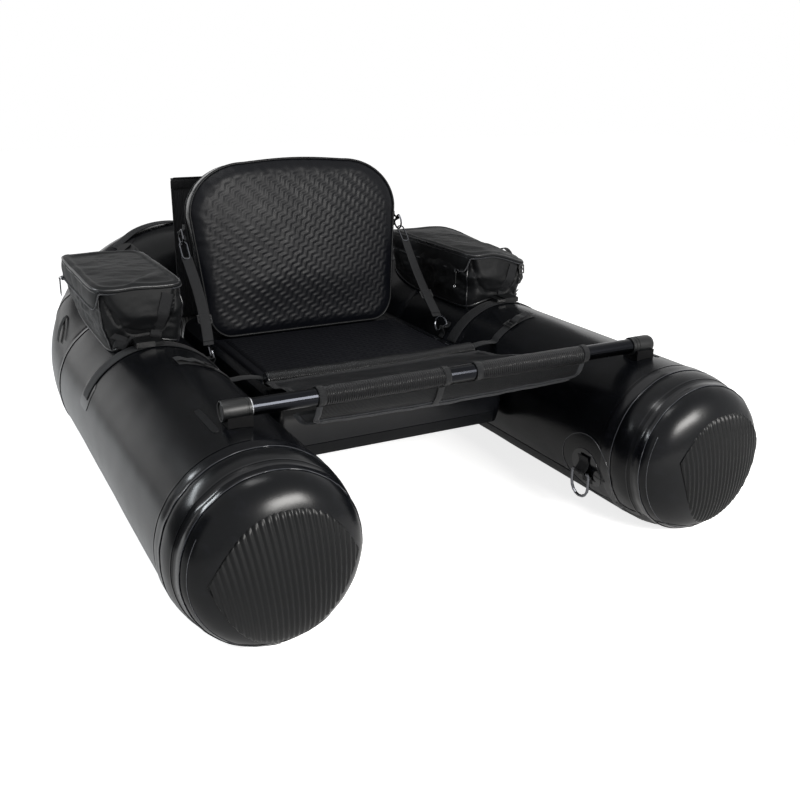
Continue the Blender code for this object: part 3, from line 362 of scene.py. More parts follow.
# %% [markdown]
# ## Straps, cords and turned profiles
#
# Webbing, piping and wire follow a path. A strap is flat and needs a width axis at each point,
# while a cord carries its own frame along and never twists. Blender's curves could do the same,
# but meshes with their own coordinates keep every weave at its real size.

# %% Straps, cords and turned profiles
def running_length(path):
    """How far along a path each of its points lies."""
    lengths = [0.0]
    for first, second in zip(path, path[1:]):
        lengths.append(lengths[-1] + math.dist(first, second))
    return lengths


STRAP_FACES = 4


def strap(name, path, side_axes, width, thickness, finish, body="hull"):
    """A flat strap along a path, with a width axis at each point and a slight crown across."""
    path = [Vector(p) for p in path]
    if isinstance(side_axes, Vector):
        side_axes = [side_axes] * len(path)
    points, uvs = [], []
    for index, (point, length) in enumerate(zip(path, running_length(path))):
        before, after = path[max(index - 1, 0)], path[min(index + 1, len(path) - 1)]
        axis = side_axes[index].normalized()
        out = (after - before).cross(axis).normalized()
        for share in (t * 2 - 1 for t in shares(STRAP_FACES)):
            crown = thickness * 0.25 * (1 - share * share)
            points.append(point + axis * (share * width / 2) + out * crown)
            uvs.append((length, share * width / 2))
    piece = make_piece(name, points, grid_faces(len(path), STRAP_FACES + 1), finish, body, uvs, 60)
    return give_thickness(piece, thickness, 0.0, thickness * 0.25)


def smooth_path(points, per_span):
    """Points along a smooth curve through the given ones."""
    points = [Vector(p) for p in points]
    out = []
    for span in range(len(points) - 1):
        p0, p1, p2, p3 = (points[min(max(i, 0), len(points) - 1)] for i in range(span - 1, span + 3))
        for step in range(per_span):
            t = step / per_span
            out.append(0.5 * (2 * p1 + (p2 - p0) * t + (2 * p0 - 5 * p1 + 4 * p2 - p3) * t * t
                              + (3 * p1 - p0 - 3 * p2 + p3) * t ** 3))
    return out + [points[-1]]


def cord(name, path, radius, finish, body, closed=False, sides=10, flat=1.0):
    """A round or flattened cord swept along a path, with its ends closed."""
    path = [Vector(p) for p in path]
    count = len(path)
    tangents = [(path[(i + 1) % count if closed else min(i + 1, count - 1)]
                 - path[i - 1 if closed else max(i - 1, 0)]).normalized() for i in range(count)]
    normal = tangents[0].orthogonal().normalized()
    points, uvs = [], []
    for point, tangent, length in zip(path, tangents, running_length(path)):
        normal = (normal - tangent * normal.dot(tangent)).normalized()
        binormal = tangent.cross(normal)
        for angle in angles(sides):
            points.append(point + (normal * math.cos(angle) + binormal * math.sin(angle) * flat) * radius)
            uvs.append((length, radius * angle))
    faces = grid_faces(count, sides, closed=True)
    last = (count - 1) * sides
    if closed:
        turn = min(range(sides), key=lambda s: (points[last + s] - points[0]).length)
        faces += [(last + (turn + s) % sides, last + (turn + s + 1) % sides, (s + 1) % sides, s)
                  for s in range(sides)]
    else:
        faces += [tuple(range(sides))[::-1], tuple(last + s for s in range(sides))]
    return make_piece(name, points, faces, finish, body, uvs, 60)


TURNED_SIDES = 48


def turned(name, profile, place, finish, body):
    """A profile of (radius, height) points turned about its place's Z axis."""
    points, uvs = [], []
    for (radius, height), length in zip(profile, running_length(profile)):
        wide = max(radius, 1e-5)
        points += [place @ Vector((wide * math.cos(a), wide * math.sin(a), height)) for a in angles(TURNED_SIDES)]
        uvs += [(radius * a, length) for a in angles(TURNED_SIDES)]
    return make_piece(name, points, grid_faces(len(profile), TURNED_SIDES, True), finish, body, uvs, 35)


def frame_on(normal, along, origin):
    z_axis = Vector(normal).normalized()
    y_axis = z_axis.cross(Vector(along)).normalized()
    return axes_place(y_axis.cross(z_axis), y_axis, z_axis, origin)


def ruffle(point, pitch_mm, seed=0.0):
    """A smooth random value from -1 to 1 that changes over about this many millimetres."""
    return noise.noise(Vector(point) * (1000 / pitch_mm) + Vector((seed, seed * 1.7, -seed)))


def smooth_step(low, high, value):
    """0 below low, 1 above high and a smooth rise between them."""
    t = min(max((value - low) / (high - low), 0.0), 1.0)
    return t * t * (3 - 2 * t)


print("mesh tools ready")


# %% [markdown]
# ## The hull's skin
#
# A real hull is sewn or welded from flat panels, so each seam pulls in a little and the skin
# puckers beside it. The CAD tubes are true in size but perfectly smooth. This surface follows the
# same centre line and radius and adds the seams' pull, the puckers and the creases on the inside
# of the stern bends. One table of rings down each pontoon gives any point of the skin, and the
# tapes and patches later use the same table, so they always lie on it.

# %% Rings along the hull
(LOW_X, _, _), (HIGH_X, BEND_Y, _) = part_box("left_pontoon_tube")
TUBE_R = (HIGH_X - LOW_X) / 2
SPACING = -(HIGH_X + LOW_X) / 2
STERN_LOW, STERN_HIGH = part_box("stern_tube")
STERN_X, STERN_Y, STERN_Z = STERN_HIGH[0], (STERN_LOW[1] + STERN_HIGH[1]) / 2, (STERN_LOW[2] + STERN_HIGH[2]) / 2
REACH_START, REACH_END = 0.280, 0.180
CONE_LONG, DOME_LONG, CONE_R, DOME_POWER = 0.058, 0.068, TUBE_R * 0.937, 2 / 2.3
NOSE_ROWS, CONE_ROWS, TUBE_ROWS, BEND_ROWS, STERN_ROWS = 34, 9, 80, 64, 20


def nose_profile():
    """(distance ahead of the seam ring, radius) from the tip back to the ring."""
    rows = []
    for step in range(NOSE_ROWS - CONE_ROWS):
        turn = math.pi / 2 * (1 - step / (NOSE_ROWS - CONE_ROWS))
        rows.append((CONE_LONG + DOME_LONG * math.sin(turn) ** DOME_POWER, CONE_R * math.cos(turn) ** DOME_POWER))
    for share in (step / CONE_ROWS for step in range(CONE_ROWS)):
        bulge = 0.0035 * math.sin(math.pi * share)
        rows.append((CONE_LONG * (1 - share), CONE_R + (TUBE_R - CONE_R) * share + bulge))
    return rows


def bend_point(side, share):
    start, end = Vector((side * SPACING, BEND_Y, TUBE_R)), Vector((side * STERN_X, STERN_Y, STERN_Z))
    first, second = start + AFT * REACH_START, end + ACROSS * side * REACH_END
    rest = 1 - share
    return start * rest ** 3 + first * 3 * rest ** 2 * share + second * 3 * rest * share ** 2 + end * share ** 3


def hull_rows(side):
    """Rings as (distance, centre, tangent, up, radius, slope), from the nose's tip to the stern's middle."""
    straight = [(RING_A_Y - ahead, radius) for ahead, radius in nose_profile()]
    straight += [(RING_A_Y + (BEND_Y - RING_A_Y) * step / TUBE_ROWS, TUBE_R) for step in range(TUBE_ROWS)]
    rows = [(Vector((side * SPACING, y, TUBE_R)), AFT, UP, radius) for y, radius in straight]
    for share in (step / BEND_ROWS for step in range(BEND_ROWS + 1)):
        tangent = (bend_point(side, min(share + 1e-3, 1)) - bend_point(side, max(share - 1e-3, 0))).normalized()
        rows.append((bend_point(side, share), tangent, (UP - tangent * UP.dot(tangent)).normalized(), TUBE_R))
    rows += [(Vector((side * STERN_X * (1 - step / STERN_ROWS), STERN_Y, STERN_Z)), -ACROSS * side, UP, TUBE_R)
             for step in range(1, STERN_ROWS + 1)]
    distance, out = 0.0, []
    for index, (centre, tangent, up, radius) in enumerate(rows):
        before, after = rows[max(index - 1, 0)], rows[min(index + 1, len(rows) - 1)]
        slope = (after[3] - before[3]) / max((after[0] - before[0]).length, 1e-5)
        if index:
            distance += math.hypot((centre - before[0]).length, radius - before[3])
        out.append((distance, centre, tangent, up, radius, slope))
    return out


ROWS = {side: hull_rows(side) for _, side in SIDES}
ROW_AT = {side: [row[0] for row in ROWS[side]] for _, side in SIDES}
RING_B, RING_A, BEND_A, BEND_B, HULL_END = (
    ROW_AT[-1][row] for row in (NOSE_ROWS - CONE_ROWS, NOSE_ROWS, NOSE_ROWS + TUBE_ROWS,
                                NOSE_ROWS + TUBE_ROWS + BEND_ROWS, -1))
BEND_MID = (BEND_A + BEND_B) / 2
SEAM_RINGS = (RING_B, RING_A, BEND_A, BEND_MID, BEND_B)
print("seam rings at", [round(s - RING_A, 3) for s in SEAM_RINGS], "m behind the front ring")


# %% [markdown]
# ## Points on the skin
#
# A spot on the hull is given by its distance from the tip of the nose and its angle round the
# tube, as on a map. The rule finds it between two rings of the table and moves it in or out by
# the relief of real cloth. Snapping each patch to a mesh would also work, but a rule is exact.

# %% Points on the skin
def skin_frame(side, along, angle):
    """A bare point of the hull and its outward normal. The angle runs inwards from the crest."""
    table = ROW_AT[side]
    index = min(max(int(np.searchsorted(table, along)), 1), len(table) - 1)
    first, second = ROWS[side][index - 1], ROWS[side][index]
    share = min(max((along - first[0]) / max(second[0] - first[0], 1e-9), 0.0), 1.0)
    centre = first[1].lerp(second[1], share)
    tangent, up = (first[i].lerp(second[i], share).normalized() for i in (2, 3))
    radius, slope = (first[i] + (second[i] - first[i]) * share for i in (4, 5))
    ray = tangent.cross(up) * -side * math.sin(angle) + up * math.cos(angle)
    return centre + ray * radius, (ray - tangent * max(slope, 0.0)).normalized()


def skin_relief(side, along, angle, point):
    """How far the real skin lies outside the smooth tube: seams pull in, and the cloth puckers by them."""
    mirrored = Vector((abs(point.x) * side if along < BEND_B - 0.1 else abs(point.x), point.y, point.z))
    relief = 0.0007 * ruffle(mirrored, 150, 3) + 0.0003 * ruffle(mirrored, 55, 7)
    for ring in SEAM_RINGS:
        gap = along - ring
        if abs(gap) < 0.12:
            relief -= 0.0013 * math.exp(-(gap / 0.010) ** 2)
            pucker = ruffle(Vector((math.cos(angle), math.sin(angle), gap * 1.5)) * 0.158, 26, ring * 9)
            relief += 0.0011 * pucker * math.exp(-(gap / 0.032) ** 2)
    if BEND_A - 0.05 < along < BEND_B + 0.05:
        share = min(max((along - BEND_A) / (BEND_B - BEND_A), 0), 1)
        squeeze = max(math.sin(angle), 0.0) * math.sin(math.pi * share)
        relief += 0.0022 * squeeze ** 1.5 * ruffle(Vector((along, math.cos(angle) * 0.02, 0)), 20, 2)
    return relief


def skin_point(side, along, angle, lift=0.0):
    point, normal = skin_frame(side, along, angle)
    out = point + normal * (skin_relief(side, along, angle, point) + lift)
    out.z = max(out.z, 0.0)
    return out


AROUND = 120


def make_hull_skin(name, side, first, last):
    """The skin between two distances, one ring of points for each row of the table and each seam's edge."""
    marks = [m for m in ROW_AT[side] if first <= m <= last]
    for ring in SEAM_RINGS:
        marks += [ring + offset for offset in (-0.012, -0.006, 0.0, 0.006, 0.012) if first < ring + offset < last]
    marks = sorted(set(round(m, 5) for m in marks))
    points = [skin_point(side, m, angle) for m in marks for angle in angles(AROUND)]
    uvs = [(TUBE_R * angle, m) for m in marks for angle in angles(AROUND)]
    return make_piece(name, points, grid_faces(len(marks), AROUND, True), PVC_SKIN, "hull", uvs, 60)


for word, side in SIDES:
    skin = make_hull_skin(word + "_hull_skin", side, 0.0, BEND_B)
    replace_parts(skin, word + "_nose_cone", word + "_pontoon_tube", word + "_stern_bend")
    print(skin.name, len(skin.data.vertices), "points")
for word, side in SIDES:
    half = make_hull_skin(word + "_stern_skin", side, BEND_B, HULL_END)
    if side < 0:
        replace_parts(half, "stern_tube")


# %% [markdown]
# ## Seam tapes, wear strips and round patches
#
# Each seam is covered by a welded tape about 25 mm wide and under a millimetre thick. Its edges catch the light as
# fine bright rings, which is most of what tells the eye that this is a welded boat. They are thin closed bands laid on
# the skin by the same table, so they pucker with it. The beads along the welds and the rims round the ring patches are
# painted much lighter than the skin: a painted highlight for the brightest hairlines.

# %% Tapes and patches on the skin
RING_SPOT = (RING_A + 0.068, math.radians(107))


def skin_band(name, side, first, last, lift=0.0015):
    """A closed tape round the hull from one distance to another, thinning to nothing at its edges."""
    rows = [(first + (last - first) * k / 5, lift) for k in range(6)]
    rows = [(first + 0.0004, -0.0006)] + rows + [(last - 0.0004, -0.0006)]
    points = [skin_point(side, along, angle, level) for along, level in rows for angle in angles(AROUND)]
    return make_piece(name, points, grid_faces(len(rows), AROUND, True), PVC_TAPE, "hull", None, 30)


def skin_patch(name, side, along, angle, outline, finish=PVC_TAPE, lift=0.0012, rings=10, steps=72):
    """A patch glued on the skin. outline(turn) gives its half size in metres (along, round) at each turn."""
    points = [skin_point(side, along, angle, lift)]
    for share, level in [(ring / rings, lift) for ring in range(1, rings + 1)] + [(1.004, -0.0005)]:
        for a, b in map(outline, angles(steps)):
            points.append(skin_point(side, along + a * share, angle + b * share / TUBE_R, level))
    faces = [(0, 1 + (k + 1) % steps, 1 + k) for k in range(steps)]
    faces += [tuple(1 + i for i in face) for face in grid_faces(rings + 1, steps, True)]
    if side > 0:
        faces = [face[::-1] for face in faces]
    return make_piece(name, points, faces, finish, "hull", None, 30)


def lozenge(half_long, half_wide, power=2.0):
    """A round patch, or a long one with rounded ends at a higher power, as (along, round)."""
    def outline(turn):
        c, s = math.cos(turn), math.sin(turn)
        return (half_long * math.copysign(abs(c) ** (2 / power), c),
                half_wide * math.copysign(abs(s) ** (2 / power), s))
    return outline


def skin_bead(name, side, along, radius=0.0008, lift=0.0010, first=0, last=360):
    """The fine bead of melted coat along a weld. Its colour is lighter than the skin's, a painted highlight that draws
    a bright hairline round the hull.
    """
    path = [skin_point(side, along, math.radians(first + (last - first) * k / 200), lift) for k in range(201)]
    whole = last - first == 360
    cord(name, path[:-1] if whole else path, radius, PVC_BEAD_PAINTED_HIGHLIGHT, "hull", closed=whole, sides=6)


for word, side in SIDES:
    for name, first, last, lift in (("front_seam_tape", RING_A - 0.004, RING_A + 0.020, 0.0015),
                                    ("front_seam_edge", RING_A + 0.027, RING_A + 0.030, 0.0008),
                                    ("nose_seam_tape", RING_B - 0.014, RING_B + 0.005, 0.0015),
                                    ("nose_seam_edge", RING_B + 0.012, RING_B + 0.0145, 0.0007)):
        skin_band(f"{word}_{name}", side, first, last, lift)
    skin_bead(word + "_front_weld_bead", side, RING_A - 0.0046)
    skin_bead(word + "_nose_weld_bead", side, RING_B - 0.0146)
    start = 60 if side > 0 else 180
    skin_bead(word + "_nose_weld_bead_low", side, RING_B - 0.0300, 0.0006, 0.0003, start, start + 120)
    for name, ring in (("bend", BEND_A), ("mitre", BEND_MID), ("stern", BEND_B)):
        skin_band(f"{word}_{name}_seam_tape", side, ring - 0.012, ring + 0.012)
    skin_patch(word + "_ring_patch", side, *RING_SPOT, lozenge(0.074, 0.074), PVC_SKIN)
    skin_patch(word + "_ring_patch_top", side, *RING_SPOT, lozenge(0.043, 0.043), lift=0.0024)
    # The rims round the ring patches take the bead's lighter colour, a painted highlight.
    for size, name in ((0.0735, "ring_patch_rim"), (0.0425, "ring_patch_top_rim")):
        rim = [skin_point(side, RING_SPOT[0] + size * math.cos(a), RING_SPOT[1] + size * math.sin(a) / TUBE_R, 0.0016)
               for a in angles(120)]
        cord(f"{word}_{name}", rim, 0.0008, PVC_BEAD_PAINTED_HIGHLIGHT, "hull", closed=True, sides=6)
    skin_patch(word + "_keel_strip", side, RING_A + 0.30, math.radians(178), lozenge(0.40, 0.155, 4), PVC_FLOOR)
    skin_patch(word + "_crest_strip", side, RING_A + 0.145, math.radians(-11), lozenge(0.055, 0.006, 6), PVC_FLOOR)


# %% [markdown]
# ## Webbing, cloth and vinyl
#
# Webbing is woven from thick nylon yarn in fine cross ribs. The bags are coated polyester, the
# apron is slick nylon taffeta, and the sleeves are an open mesh sealed in vinyl. Each weave is
# drawn at its real pitch: about 1.4 mm for webbing, 0.8 mm for bag cloth and 2.5 mm for mesh.

# %% Textile finishes
def wave_scale(pitch_mm):
    """The wave texture's scale for a real pitch in metres: one wave is 20 / (2 pi) scale units."""
    return 1000 / pitch_mm * math.pi / 10


def ribs_in_uv(tree, pitch_mm, direction="X"):
    """Ribs at a real pitch, from texture coordinates that are in metres."""
    where = add(tree, "TexCoord")
    return add(tree, "TexWave", {"Vector": where.outputs["UV"]}, bands_direction=direction,
               Scale=wave_scale(pitch_mm), Distortion=0.4, Detail=1.0).outputs[1]


def make_webbing(name, colour, light_colour, pitch_mm=1.4):
    material, tree, shader = new_finish(name, colour, 0.62, Sheen_Weight=0.04, Sheen_Roughness=0.4,
                                        Specular_IOR_Level=0.22)
    ribs = ribs_in_uv(tree, pitch_mm)
    varied(tree, shader, ribs, "Base Color", colour, light_colour)
    bumped(tree, shader, ribs, 0.35, 0.7)
    return material


def make_weave(name, colour, light_colour, pitch_mm, roughness, depth_mm, sheen, level):
    """A plain weave in the piece's own coordinates, with soft unevenness over a few centimetres."""
    material, tree, shader = new_finish(name, colour, roughness, Sheen_Weight=sheen, Sheen_Roughness=0.5,
                                        Specular_IOR_Level=level)
    place = rest_coordinates(tree)
    scale = wave_scale(pitch_mm)
    warp = add(tree, "TexWave", {"Vector": place}, bands_direction="DIAGONAL", Scale=scale * 0.6,
               Distortion=1.0, Detail=1.0)
    weft = add(tree, "TexWave", {"Vector": place}, bands_direction="Z", Scale=scale, Distortion=1.0)
    cells = add(tree, "Math", {0: warp.outputs[1], 1: weft.outputs[1]}, operation="MULTIPLY")
    slubs = noise_at(tree, place, 28.0, 4.0)
    varied(tree, shader, slubs, "Base Color", colour, light_colour)
    height = add(tree, "Math", {0: slubs, 2: cells.outputs[0]}, operation="MULTIPLY_ADD", _1=6.0)
    bumped(tree, shader, height.outputs[0], depth_mm, 0.8)
    return material


def make_ribbed(name, colour, light_colour, pitch_mm, depth_mm, roughness, level=0.5, direction="X"):
    """Ribs across the texture's length, such as mesh vinyl or a zip's coil, with the crests in the lighter colour."""
    material, tree, shader = new_finish(name, colour, roughness, Specular_IOR_Level=level)
    ribs = ribs_in_uv(tree, pitch_mm, direction)
    varied(tree, shader, ribs, "Base Color", colour, light_colour)
    varied(tree, shader, ribs, "Roughness", roughness + 0.2, roughness)
    bumped(tree, shader, ribs, depth_mm, 0.9)
    return material


WEBBING = make_webbing("woven_nylon_webbing", "#060708", "#121316")
BINDING = make_webbing("grosgrain_edge_binding", "#060708", "#101114", 0.9)
HEM_TAPE = make_webbing("stitched_hem_tape", "#101113", "#26282c", 1.1)
BAG_CLOTH = make_weave("coated_oxford_cloth", "#050607", "#0c0d0f", 0.8, 0.50, 0.12, 0.015, 0.15)
APRON_CLOTH = make_weave("slick_nylon_taffeta", "#060709", "#0b0c0f", 0.35, 0.36, 0.06, 0.01, 0.13)
# On the mesh vinyl and the zip's coil the lighter rib crests are partly the weave's own tone and partly a painted
# highlight along the ribs.
MESH_VINYL = make_ribbed("ribbed_mesh_vinyl", "#020203", "#101113", 2.5, 0.9, 0.30, 0.24)
MESH_ROUND = make_ribbed("ribbed_mesh_vinyl_tube", "#020203", "#0f1012", 4.4, 1.6, 0.26, 0.26, "Y")
PANEL_MESH = make_ribbed("open_storage_mesh", "#060708", "#1a1c20", 4.0, 1.0, 0.45, 0.3)
ZIP_COIL = make_ribbed("nylon_zip_coil", "#08090b", "#2b2d32", 1.1, 0.5, 0.35)
print("textile finishes made")


# %% [markdown]
# ## Hard materials
#
# The bar is aluminium tube with a satin black anodised skin. Rings and hooks are steel with black
# nickel, and buckles are moulded acetal. Caps, saddles and wear patches are rubber.

# %% Hard finishes
def make_moulded(name, colour, roughness, grain_mm=0.4, depth_mm=0.04, **sockets):
    """Moulded plastic or rubber, with the fine spark texture of its mould."""
    material, tree, shader = new_finish(name, colour, roughness, **sockets)
    place = rest_coordinates(tree)
    varied(tree, shader, noise_at(tree, place, 35.0, 5.0), "Roughness", roughness * 0.8, roughness * 1.25)
    bumped(tree, shader, noise_at(tree, place, 1000 / grain_mm, 2.0), depth_mm, 0.6)
    return material


def make_metal(name, colour, roughness):
    """A plated or anodised metal, with faint draw lines and handling marks."""
    material, tree, shader = new_finish(name, colour, roughness, Metallic=1.0)
    lines = noise_at(tree, rest_coordinates(tree, (0.05, 1, 1)), 300.0, 3.0)
    varied(tree, shader, lines, "Roughness", roughness * 0.8, roughness * 1.3)
    bumped(tree, shader, lines, 0.02, 0.5)
    return material


ANODISED = make_metal("satin_black_anodised_aluminium", "#1d1e21", 0.24)
BLACK_NICKEL = make_metal("black_nickel_steel", "#5d5e62", 0.22)
BRIGHT_RING = make_metal("turned_bright_ring", "#b9babd", 0.24)
ACETAL = make_moulded("moulded_acetal", "#08090a", 0.34, IOR=1.48, Specular_IOR_Level=0.35)
WEAR_TREAD = make_moulded("ribbed_rubber_tread", "#08090a", 0.36, IOR=1.52, Specular_IOR_Level=0.16)
SADDLE_RUBBER = make_moulded("cast_rubber_saddle", "#050506", 0.50, IOR=1.50, Specular_IOR_Level=0.10)
CAP_RUBBER = make_moulded("moulded_rubber_cap", "#090a0b", 0.40, IOR=1.52, Specular_IOR_Level=0.30)
PIPING = make_moulded("extruded_vinyl_piping", "#0c0d10", 0.28, IOR=1.53)
WELTING = make_moulded("matt_vinyl_welting", "#07080a", 0.42, IOR=1.53, Specular_IOR_Level=0.14)
EMBOSSED = make_moulded("embossed_vinyl", "#05060a", 0.42, 0.9, 0.10, IOR=1.53, Specular_IOR_Level=0.13)
print("hard finishes made")


# %% [markdown]
# ## Wear patches on the noses
#
# A boat that is dragged up a bank rubs on its noses, so each carries a ribbed rubber patch shaped
# like a lens. The ribs stand upright and follow the nose's curve. The patch is laid on the nose
# point by point, with the ribs as real relief because they catch the light from the side.

# %% Ribbed wear patches
RIB_PITCH, PATCH_TOP, PATCH_BOTTOM = 0.0098, 0.100, -0.130
PATCH_COLUMNS, PATCH_ROWS = 281, 40


def nose_point(side, across, rise, lift):
    """A point of the nose seen from ahead, from its offset across and up from the pontoon's axis."""
    reach = math.hypot(across, rise)
    radii = [row[4] for row in ROWS[side][:NOSE_ROWS]]
    index = max(int(np.searchsorted(radii, min(reach, radii[-1] - 1e-6))), 1)
    low, high = ROWS[side][index - 1], ROWS[side][index]
    share = (reach - low[4]) / max(high[4] - low[4], 1e-9)
    along = low[0] + (high[0] - low[0]) * min(max(share, 0), 1)
    return skin_point(side, along, math.atan2(-side * across, rise), lift)


def make_wear_patch(word, side, low_x, high_x, corner_z):
    """A fat lens of ribs on the nose, from its sharp left corner round to its right, with a raised rim."""
    middle, half_wide = (low_x + high_x) / 2, (high_x - low_x) / 2
    points, uvs = [], []
    for v in (row / (PATCH_ROWS - 1) for row in range(PATCH_ROWS)):
        for u in (column / (PATCH_COLUMNS - 1) * 2 - 1 for column in range(PATCH_COLUMNS)):
            high = PATCH_TOP * (1 - abs(u) ** 2.5) + corner_z * u ** 2
            low = PATCH_BOTTOM * (1 - abs(u) ** 2.6) + corner_z * u ** 2
            x, z = middle + u * half_wide, high + (low - high) * v
            bow = 0.24 * z * (0.12 - x) / 0.24
            ridge = 0.5 + 0.5 * math.cos(2 * math.pi * (x + bow) / RIB_PITCH)
            rim = min(v, 1 - v) * (high - low)
            lift = -0.0006 if rim < 1e-6 else 0.0020 if rim < 0.003 else 0.0006 + 0.0022 * ridge ** 0.7
            points.append(nose_point(side, x, z, lift))
            uvs.append((x + bow, z))
    patch = make_piece(word + "_ribbed_patch", points, grid_faces(PATCH_ROWS, PATCH_COLUMNS), WEAR_TREAD, "hull",
                       uvs, 40)
    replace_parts(patch, word + "_wear_patch")


make_wear_patch("left", -1, -0.115, 0.128, 0.0)
make_wear_patch("right", 1, -0.088, 0.132, 0.022)
print("wear patches made")


# %% [markdown]
# ## The seat slab
#
# The slab is drop-stitch: two skins held parallel by thousands of threads, so it pumps up hard
# and flat. Its side wall is a separate strip that bulges outwards, glued over by a tape at the
# top and the bottom edge. The wall's bulge reflects the light as one long soft band.

# %% Slab
SLAB_LOW, SLAB_HIGH = corners("seat_slab")
FRONT_CORNER, REAR_CORNER, PER_CORNER, PER_SIDE = 0.03, 0.15, 12, 40


def slab_outline():
    """The slab's edge from its front left corner round to its left side, as (point, outward direction)."""
    arcs = []
    for x, y, sx, sy, radius in ((SLAB_LOW.x, SLAB_LOW.y, -1, -1, FRONT_CORNER),
                                 (SLAB_HIGH.x, SLAB_LOW.y, 1, -1, FRONT_CORNER),
                                 (SLAB_HIGH.x, SLAB_HIGH.y, 1, 1, REAR_CORNER),
                                 (SLAB_LOW.x, SLAB_HIGH.y, -1, 1, REAR_CORNER)):
        centre, start = Vector((x - sx * radius, y - sy * radius, 0)), math.atan2(sy, sx) - math.pi / 4
        turns = (start + math.pi / 2 * step / PER_CORNER for step in range(PER_CORNER + 1))
        arcs.append([(centre + way * radius, way) for way in (Vector((math.cos(a), math.sin(a), 0)) for a in turns)])
    points = []
    for arc, after in zip(arcs, arcs[1:] + arcs[:1]):
        spot, way = after[0]
        points += arc + [(arc[-1][0].lerp(spot, k / PER_SIDE), way) for k in range(1, PER_SIDE)]
    return points


SLAB_RING = slab_outline()


def slab_loft(name, levels, finish, smooth_deg, closed_ends=False):
    """Stacks copies of the slab's edge. Each level gives the inset from the edge and the height."""
    points = [(p - n * inset) + UP * z for inset, z in levels for p, n in SLAB_RING]
    count = len(SLAB_RING)
    faces = grid_faces(len(levels), count, closed=True)
    if closed_ends:
        faces += [tuple(range(count))[::-1], tuple(range(len(points) - count, len(points)))]
    return make_piece(name, points, faces, finish, "hull", None, smooth_deg)


wall_low, wall_high = SLAB_LOW.z + 0.012, SLAB_HIGH.z - 0.012
levels = [(0.034, SLAB_LOW.z), (0.014, SLAB_LOW.z), (0.010, SLAB_LOW.z + 0.002)]
levels += [(0.009 * (1 - math.sin(math.pi * t) ** 0.6), wall_low + (wall_high - wall_low) * t)
           for t in (step / 12 for step in range(13))]
levels += [(0.010, SLAB_HIGH.z - 0.002), (0.016, SLAB_HIGH.z), (0.036, SLAB_HIGH.z)]
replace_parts(slab_loft("seat_slab_skin", levels, PVC_TAPE, 50, True), "seat_slab")

# The glued tape turns over each edge of the slab: 18 mm on the wall and 14 mm on the flat.
TAPE_ROWS = [(0.030, 0.0004), (0.028, 0.0012), (0.015, 0.0012), (0.009, 0.0002), (0.0062, -0.008),
             (0.0040, -0.018), (0.0022, -0.026), (0.0030, -0.0265)]
for name, z, turn in (("slab_top_tape", SLAB_HIGH.z, 1), ("slab_bottom_tape", SLAB_LOW.z, -1)):
    slab_loft(name, [(inset, z + turn * rise) for inset, rise in TAPE_ROWS], PVC_SKIN, 30)
print("slab ring has", len(SLAB_RING), "points")


# %% [markdown]
# ## Embossing of the cushions
#
# The pad and the backrest are foam and air under a moulded vinyl face. The face is embossed with
# a zigzag: fine ridges run up and to the right and break direction at a regular step. A relief
# over a millimetre deep is large enough to be real geometry, so the pattern throws its own small
# highlights and shadows.

# %% Zigzag relief
RIDGE_PITCH, BREAK_PITCH, SWING = 0.0145, 0.0250, 0.0038


def zigzag(x, z):
    """Relief from 0 to 1 of a zigzag whose ridges run up to the right."""
    along, over = (x * 0.66 + z * 0.75), (x * 0.75 - z * 0.66)
    wave = abs(2 * ((along / BREAK_PITCH) % 1) - 1) * 2 - 1
    ridge = 0.5 + 0.5 * math.cos(2 * math.pi * (over + SWING * wave) / RIDGE_PITCH)
    return ridge * (0.75 + 0.25 * math.cos(2 * math.pi * along / BREAK_PITCH))


print("relief every 4 mm upwards:", [round(zigzag(0.0, k * 0.004), 2) for k in range(4)])


# %% [markdown]
# ## Seat pad
#
# The pad is a thin cushion with the same face, sewn along its border and laid on the slab. Its
# border stays smooth and low, and the embossed field rises a little in the middle.

# %% Seat pad
PAD_LOW, PAD_HIGH = corners("seat_pad")
PAD_ACROSS, PAD_DEEP, PAD_MIDDLE = PAD_HIGH.x - PAD_LOW.x, PAD_HIGH.y - PAD_LOW.y, (PAD_LOW.y + PAD_HIGH.y) / 2
PAD_CORNER, PAD_BORDER, PAD_MESH = 0.022, 0.020, 0.0032


def pad_point(u, v):
    x, y = (u - 0.5) * PAD_ACROSS, PAD_LOW.y + v * PAD_DEEP
    from_edge = min(x + PAD_ACROSS / 2, PAD_ACROSS / 2 - x, y - PAD_LOW.y, PAD_HIGH.y - y)
    cx = max(abs(x) - (PAD_ACROSS / 2 - PAD_CORNER), 0)
    cy = max(abs(y - PAD_MIDDLE) - (PAD_DEEP / 2 - PAD_CORNER), 0)
    if cx > 0 and cy > 0:
        shrink = max(cx, cy) / math.hypot(cx, cy) - 1
        x, y = x + math.copysign(cx * shrink, x), y + math.copysign(cy * shrink, y - PAD_MIDDLE)
        from_edge = min(from_edge, PAD_CORNER - max(cx, cy))
    edge, inside = (min(max(gap, 0), 1) for gap in (from_edge / 0.007, (from_edge - PAD_BORDER) / 0.006))
    z = PAD_LOW.z + 0.0075 * math.sin(edge * math.pi / 2) ** 0.7
    z -= 0.0018 * math.exp(-((from_edge - PAD_BORDER) / 0.0016) ** 2)
    bulge = max(0.0, (1 - abs(u * 2 - 1) ** 6) * (1 - abs(v * 2 - 1) ** 6)) ** 0.5
    z += inside * (0.0050 * bulge + 0.0016 * zigzag(x, y))
    return Vector((x, y, z + 0.0004 * ruffle((x, y, 0), 60)))


pad = surface("seat_pad_cover", int(PAD_DEEP / PAD_MESH), int(PAD_ACROSS / PAD_MESH), pad_point, EMBOSSED, "hull",
              (PAD_ACROSS, PAD_DEEP))
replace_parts(pad, "seat_pad")
print("pad points:", len(pad.data.vertices))


